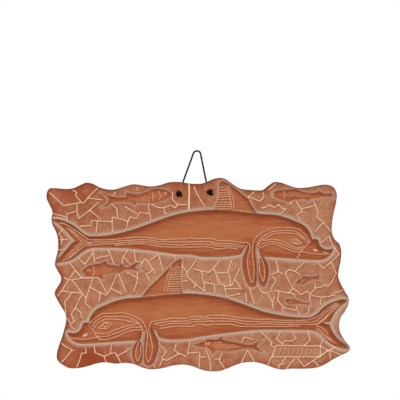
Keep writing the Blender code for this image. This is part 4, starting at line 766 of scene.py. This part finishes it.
def depth_in(loop, reach):
    """How far inside an outline each point is, up to the reach, and where its edge is nearest."""
    gap, spot = nearest(flat, [loop], reach, True)
    return np.where(inside(flat, loop), gap, 0.0), spot


def raised(depth, wall, dome, dome_run):
    """Height of a raised figure: a steep side, then a dome over its middle."""
    side = np.clip(depth / WALL_RUN, 0, 1)
    rise = 1 - np.clip(depth / dome_run, 0, 1)
    return wall * side * (2 - side) + dome * np.sqrt(1 - rise ** 2)


def fade(gap, full, gone):
    """1 up to the full distance, falling to 0 at the gone distance."""
    share = np.clip((gone - gap) / (gone - full), 0, 1)
    return share * share * (3 - 2 * share)


# Heights of the face, and where the finish and the painted shade lie: slip left in the lines, a
# thin wash of it on the ground that is palest close round the figures, dark bands inside the edges,
# painted shadow under the lines, and bare clay on the figures and where the ground was wiped, with
# the figures' steep sides painted lighter as painted light against their shade
LINE_WIDTH = 1.3
LINE_DEPTH = 0.75
LINE_REACH = 3.0
SCALE_DEPTH = 0.35
FAINT = 0.25
PAVING_DEPTH = 0.7
BROAD_EXTRA = 0.5
STONE_EDGE = 2.6
STONE_DROP = 0.18
SWELL, SWELL_SIZE = 0.16, 15.0
RIPPLE, RIPPLE_SIZE = 0.05, 4.5
SHORTEST = 0.3
FIGURE_EDGE = 0.5
# Where a fin runs into its dolphin, it dips and takes the ground's finish
JOIN_BAND = (0.4, 2.8)
JOIN_DROP = 0.5
JOIN_GROUND = 0.85
# The dark band inside a figure's edge: how far in it starts and ends and how it thickens along
# its upper edge. The steep side is mostly left clear of it and painted lighter: painted light
# against the shade that falls on it
DARK_FULL, DARK_GONE, SMALL_DARK_GONE = 2.0, 6.5, 3.2
DARK_TONE, DARK_LEAN = 0.62, 0.38
WALL_LEFT_CLEAR, WALL_CLEAR_BAND = 0.7, (0.5, 1.5)
LIT_WALL_BAND = (1.0, 2.2)
# Painted shadow: a dark line just under each cut and each crack. A darker band also runs along
# the plaque's edge, widest on its left
GROOVE_SHADOW_SHIFT = (0.3, -1.05)
GROOVE_SHADOW_TONE = 0.8
CUT_SHADOW_BAND, CRACK_SHADOW_BAND = (0.3, 1.0), (0.2, 0.9)
EDGE_TONE, EDGE_LEAN, EDGE_SHIFT, EDGE_BAND = 0.45, 0.4, 2.0, (0.3, 1.8)
DAB_HEIGHT = 0.4
DAB_BAND = (0.78, 1.43)
DAB_COVER = 0.75
# The pale wash round the dolphins, their limbs and the fish: how pale, and where it ends
HALOS = ((bodies, 0.92, 0.5, 4.8), (fins + flippers, 0.6, 0.3, 2.8), (fish, 0.4, 0.3, 2.6))
GROUND_SLIP = 0.4
PANEL_SLIP = 0.6
BORDER = 8.0
BORDER_WIPED = 0.25
# Places that were wiped barer, or left with more slip where the amount is below zero: the
# middle of each, its reach and the amount
WIPED = [
    ((-132, 84), 51, 0.4), ((-60, 82), 45, 0.12), ((-150, 20), 33, 0.12), ((-10, 92), 42, 0.26),
    ((-125, -92), 51, 0.55), ((-122, -93), 18, 0.4), ((-10, 100), 30, 0.1),
    ((-150, -30), 30, 0.1), ((60, 85), 39, 0.1), ((140, 62), 39, -0.16), ((110, 85), 36, -0.1),
    ((140, 12), 36, -0.06), ((150, -50), 33, -0.55), ((80, -90), 51, -0.06),
    ((-95, -95), 36, 0.26), ((30, -92), 21, 0.2), ((-15, -82), 21, 0.2), ((-45, -5), 51, -0.16),
    ((20, 8), 51, -0.26), ((75, -28), 24, -0.2), ((162, -38), 24, -0.3),
]
relief, figure, shade, worn_and_lit = np.zeros((4, len(flat)))
to_body = nearest(flat, bodies, JOIN_BAND[1], True)[0]
in_body = inside(flat, bodies[0]) | inside(flat, bodies[1])
for loops, wall, dome, run, wear, dark in (
        (bodies, DOLPHIN_WALL, DOLPHIN_DOME, DOLPHIN_DOME_RUN, 1.0, DARK_GONE),
        (fins, FIN_WALL, 0.0, SMALL_DOME_RUN, 0.7, SMALL_DARK_GONE),
        (flippers, FLIPPER_WALL, FLIPPER_DOME, SMALL_DOME_RUN, 0.4, DARK_GONE),
        (fish, FISH_WALL, FISH_DOME, SMALL_DOME_RUN, 0.9, SMALL_DARK_GONE)):
    for loop in loops:
        depth, spot = depth_in(loop, DOLPHIN_DOME_RUN)
        height = raised(depth, wall, dome, run)
        on_top = (height > relief) & (depth > 0)
        relief = np.maximum(relief, height)
        upward = np.clip((spot - flat)[:, 1] / np.maximum(depth, SHORTEST), -1, 1)
        # The dark band, mostly left off the steep side, which is painted lighter instead as painted
        # light
        band = (fade(depth, DARK_FULL, dark) * (DARK_TONE + DARK_LEAN * upward)
                * (1 - WALL_LEFT_CLEAR * fade(depth, *WALL_CLEAR_BAND)))
        # Worn clay over the middle, and painted light along the steep side against its shade
        rubbed_and_lit = np.maximum(wear * np.clip(depth / run, 0, 1), fade(depth, *LIT_WALL_BAND))
        shade[on_top] = band[on_top]
        figure[on_top] = np.clip(depth / FIGURE_EDGE, 0, 1)[on_top]
        worn_and_lit[on_top] = rubbed_and_lit[on_top]
        if loops is fins:
            join = fade(to_body, *JOIN_BAND) * on_top * ~in_body
            relief -= JOIN_DROP * join
            figure *= 1 - JOIN_GROUND * join

to_cut, to_scale, to_paving, to_broad = (
    nearest(flat, lines, LINE_REACH)[0]
    for lines in (cut_lines + small_lines, scale_lines, paving + panel, broad_paving))
to_paving = np.minimum(to_paving, np.maximum(to_broad - BROAD_EXTRA, 0))
# Painted shadow lines: the distance from each place, moved by the shift, to the cuts and cracks
cut_shadow_gap, crack_shadow_gap = (nearest(flat - GROOVE_SHADOW_SHIFT, lines, LINE_REACH)[0]
                           for lines in (cut_lines + small_lines, paving + panel))
to_edge, spot = nearest(flat, [edge], BORDER, True)
leftward = np.clip((flat - spot)[:, 0] / np.maximum(to_edge, SHORTEST), 0, 1)

ground = 1 - figure
relief -= LINE_DEPTH * fade(to_cut, 0.0, LINE_WIDTH / 2)
relief -= SCALE_DEPTH * fade(to_scale, 0.0, LINE_WIDTH / 2)
relief -= (PAVING_DEPTH * fade(to_paving, 0.0, LINE_WIDTH / 2)
           + STONE_DROP * fade(to_paving, 0.0, STONE_EDGE)) * ground
relief += [SWELL * uneven(x, z, SWELL_SIZE) + RIPPLE * uneven(x, z, RIPPLE_SIZE)
           for x, z in flat]
short = 1 - np.clip(to_edge / RIM_RADIUS, 0, 1)
heights = GROUND_THICKNESS + relief - RIM_RADIUS * (1 - np.sqrt(1 - short ** 2))
# The painted shadow lines and the darker band along the edge go into the shade values
for dark in (GROOVE_SHADOW_TONE * fade(cut_shadow_gap, *CUT_SHADOW_BAND),
             GROOVE_SHADOW_TONE * fade(crack_shadow_gap, *CRACK_SHADOW_BAND) * ground,
             (EDGE_TONE + EDGE_LEAN * leftward) * fade(to_edge - EDGE_SHIFT * leftward,
                                                       *EDGE_BAND)):
    shade = np.maximum(shade, dark)
dab = fade(nearest(flat, dabs, DAB_BAND[1])[0], *DAB_BAND)
heights += DAB_HEIGHT * dab
slip = GROUND_SLIP - BORDER_WIPED * fade(to_edge, RIM_RADIUS, BORDER)
for (x, z), reach, amount in WIPED:
    slip -= amount * fade(np.hypot(flat[:, 0] - x, flat[:, 1] - z), 0.0, reach)
slip = np.where(inside(flat, panel_loop), PANEL_SLIP, slip)
halo = np.zeros(len(flat))
for loops, strength, full, gone in HALOS:
    halo = np.maximum(halo, strength * fade(nearest(flat, loops, gone, True)[0], full, gone))

finishes_and_shade = (np.minimum(to_cut, to_scale + FAINT), to_paving + LINE_REACH * figure,
            DAB_COVER * dab, slip * ground, halo * ground, shade, figure, worn_and_lit)
for index, vert in enumerate(verts):
    vert.co.z = heights[index]
    for name, values in zip(FINISHES_AND_SHADE, finishes_and_shade):
        vert[layers[name]] = values[index]

# The edge is carried down to the back and softened there, and the back is struck flat. Both
# are bare clay, with no line near, no slip and a trace of the dark tone.
BARE = {"cut_gap": LINE_REACH, "crack_gap": LINE_REACH, "slip": -1.0, "shade": 0.1}


def carry_down(height, inset):
    """Draws a new ring of points down from the border, stepped in towards the clay."""
    borders = [side for side in slab.edges if side.is_boundary]
    made = bmesh.ops.extrude_edge_only(slab, edges=borders)["geom"]
    ring_verts = [item for item in made if isinstance(item, bmesh.types.BMVert)]
    slab.normal_update()
    for vert in ring_verts:
        outward = sum((face.normal for face in vert.link_faces), Vector())
        outward.z = 0.0
        vert.co.z = height
        if inset and outward.length > 0:
            vert.co -= outward.normalized() * inset
        for name in FINISHES_AND_SHADE:
            vert[layers[name]] = BARE.get(name, 0.0)
    return ring_verts


BACK_POINT_STEP = 0.9
carry_down(BACK_CHAMFER, 0.0)
last = carry_down(0.0, BACK_CHAMFER)
bmesh.ops.remove_doubles(slab, verts=last, dist=BACK_POINT_STEP)
borders = [side for side in slab.edges if side.is_boundary]
for side in borders:
    side.smooth = False
bmesh.ops.triangle_fill(slab, use_beauty=True, edges=borders, normal=(0.0, 0.0, -1.0))
bmesh.ops.recalc_face_normals(slab, faces=list(slab.faces))
for face in slab.faces:
    face.smooth = True
stand_up = Matrix.Translation((-NAIL[0] * scale * MM, -BACK_PLANE * MM, -NAIL[1] * scale * MM)
                              ) @ Matrix.Rotation(math.pi / 2, 4, "X") @ Matrix.Scale(MM, 4)
bmesh.ops.transform(slab, matrix=stand_up, verts=list(slab.verts))
mesh = bpy.data.meshes.new("carved_terracotta_plaque")
slab.to_mesh(mesh)
slab.free()

# Terracotta, an iron-rich red earthenware fired unglazed: matt, dry and slightly grainy.
# Thin pale slip was rubbed over it and wiped back, so it stays in the lines and the hollows.
# Grit of 0.9 mm is coarser than the real one, to show at all.
GRIT = 0.9
MOTTLE = 2.6
CLOUD = 11.0
PATCH = 34.0
STREAK = 3.2
STREAK_STRETCH = 0.16
CUT_SLIP = 0.8
CRACK_SLIP = 0.86
SLIP_FULL = 0.15
terracotta, shader = finish("slip_washed_terracotta")
place = add(terracotta, "TexCoord").outputs["Object"]
grit, mottle, cloud, patch = (
    add(terracotta, "TexNoise", {"Vector": place, "Scale": 1 / (size * MM), "Detail": detail,
                                 "Roughness": 0.6}).outputs["Fac"]
    for size, detail in ((GRIT, 3.0), (MOTTLE, 2.0), (CLOUD, 5.0), (PATCH, 3.0)))
along = add(terracotta, "VectorMath", {0: place, 1: (STREAK_STRETCH, 1.0, 1.0)},
            operation="MULTIPLY").outputs[0]
streak = add(terracotta, "TexNoise", {"Vector": along, "Scale": 1 / (STREAK * MM),
                                      "Detail": 2.0}).outputs["Fac"]
cut_in, crack_in, dab_in, slip_in, halo_in, shade_in, figure_in, worn_and_lit_in = (
    add(terracotta, "Attribute", attribute_name=name).outputs["Fac"] for name in FINISHES_AND_SHADE)

# Each pattern is spread from its usual 0.3 to 0.7 over a range of its own. The ground's clay
# is palest where slip was kept, and reddest where it was wiped bare.
cloudy, mottled, streaky, patchy, ragged, grain, dryness = (
    add(terracotta, "MapRange", {"Value": pattern, "From Min": 0.3, "From Max": 0.7,
                                 "To Min": least, "To Max": most}).outputs[0]
    for pattern, least, most in (
        (cloud, -0.3, 0.3), (mottle, -0.2, 0.2), (streak, -0.35, 0.35), (cloud, 0.65, 1.0),
        (mottle, -0.15, 0.22), (grit, 0.93, 1.07), (cloud, 0.72, 0.88)))
kept_slip = add(terracotta, "MapRange", {"Value": slip_in, "From Min": -0.5, "From Max": 0.1}
                ).outputs[0]
in_cut, in_crack = (
    add(terracotta, "MapRange", {
        "Value": add(terracotta, "Math", {0: gap, 1: ragged}, operation="ADD").outputs[0],
        "From Min": SLIP_FULL, "From Max": gone, "To Min": 1.0, "To Max": 0.0},
        interpolation_type="SMOOTHSTEP").outputs[0]
    for gap, gone in ((cut_in, CUT_SLIP), (crack_in, CRACK_SLIP)))
uneven_slip = add(terracotta, "Math", {0: mottled, 1: cloudy}, operation="ADD").outputs[0]
clay_tone, cut_amount = (
    add(terracotta, "Math", {0: one, 1: other}, operation="MULTIPLY").outputs[0]
    for one, other in ((patch, kept_slip), (in_cut, patchy)))
slip_amount, worn_and_lit_amount, shade_amount, pale = (
    add(terracotta, "Math", {0: one, 1: other}, operation=joined, use_clamp=True).outputs[0]
    for one, joined, other in (
        (slip_in, "ADD", uneven_slip), (worn_and_lit_in, "ADD", streaky),
        (shade_in, "MULTIPLY", patchy), (in_crack, "MAXIMUM", dab_in)))

# The coats lie over each other in this order: slip on the ground's clay, the pale wash round
# the figures, the figures' clay, worn and painted lighter on their steep sides as painted light,
# the dark bands and the painted shadow lines, and slip left in the cuts and cracks
# The figures' clay runs from its darker tone to a lighter one, which also paints light on their
# steep sides
ground_clay, rubbed_and_lit_clay = (
    add(terracotta, "Mix", {0: amount, 6: linear(dark), 7: linear(light)},
        data_type="RGBA").outputs[2]
    for amount, dark, light in ((clay_tone, "#9a3f19", "#b26c4a"),
                                (worn_and_lit_amount, "#a34d26", "#b86c42")))
skin = ground_clay
for amount, coat in ((slip_amount, linear("#c49170")), (halo_in, linear("#c6b09c")),
                     (figure_in, rubbed_and_lit_clay), (shade_amount, linear("#883a14")),
                     (cut_amount, linear("#e9b692")), (pale, linear("#f1cdac"))):
    skin = add(terracotta, "Mix", {0: amount, 6: skin, 7: coat}, data_type="RGBA").outputs[2]
colour = add(terracotta, "VectorMath", {0: skin, 1: grain}, operation="MULTIPLY").outputs[0]
fine = add(terracotta, "Bump", {"Height": grit, "Strength": 0.3, "Distance": 0.0002})
bump = add(terracotta, "Bump", {"Height": cloud, "Strength": 0.25, "Distance": 0.0006,
                                "Normal": fine.outputs["Normal"]})
for socket, value in (("Base Color", colour), ("Roughness", dryness),
                      ("Normal", bump.outputs["Normal"])):
    terracotta.node_tree.links.new(value, shader.inputs[socket])
shader.inputs["Specular IOR Level"].default_value = 0.3

mesh.materials.append(terracotta)
plaque = placed("carved_terracotta_plaque", mesh)
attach(plaque, "root")
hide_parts("terracotta_plaque")

# The room: a pale plaster floor well below the hung plaque, and a white light tent, with one
# soft lamp in front of the plaque, below it and a little to the left.
FLOOR_DROP = 1.5
FLOOR_SIZE = 6.0
floor_mesh = bpy.data.meshes.new("floor")
sheet = bmesh.new()
bmesh.ops.create_grid(sheet, x_segments=1, y_segments=1, size=FLOOR_SIZE / 2,
                      matrix=Matrix.Translation((0.0, 0.0, -FLOOR_DROP)))
sheet.to_mesh(floor_mesh)
sheet.free()
plaster, shader = finish("pale_smooth_plaster")
shader.inputs["Roughness"].default_value = 0.9
shader.inputs["Base Color"].default_value = linear("#e9e7e3")
floor_mesh.materials.append(plaster)
floor = placed("floor", floor_mesh)

TENT_FILL = 0.48
TENT_WHITE = 1.0
world = bpy.data.worlds.new("white_light_tent")
world.use_nodes = True
bpy.context.scene.world = world
tent = world.node_tree
seen = tent.nodes.new("ShaderNodeLightPath").outputs["Is Camera Ray"]
level = tent.nodes.new("ShaderNodeMapRange")
level.inputs["To Min"].default_value = TENT_FILL
level.inputs["To Max"].default_value = TENT_WHITE
tent.links.new(seen, level.inputs["Value"])
background = tent.nodes["Background"]
background.inputs["Color"].default_value = (1.0, 1.0, 1.0, 1.0)
tent.links.new(level.outputs[0], background.inputs["Strength"])

LAMP_PLACE = (-0.3, -1.85, -0.6)
LAMP_SIZE = 0.7
LAMP_POWER = 19.2
lamp_data = bpy.data.lights.new("key_soft_box", "AREA")
lamp_data.size = LAMP_SIZE
lamp_data.energy = LAMP_POWER
lamp = placed("key_soft_box", lamp_data)
lamp.location = LAMP_PLACE
beam = Vector((AIM[0] * MM, 0.0, AIM[2] * MM)) - Vector(LAMP_PLACE)
lamp.rotation_euler = beam.to_track_quat("-Z", "Y").to_euler()
bpy.context.scene.view_settings.view_transform = "Standard"
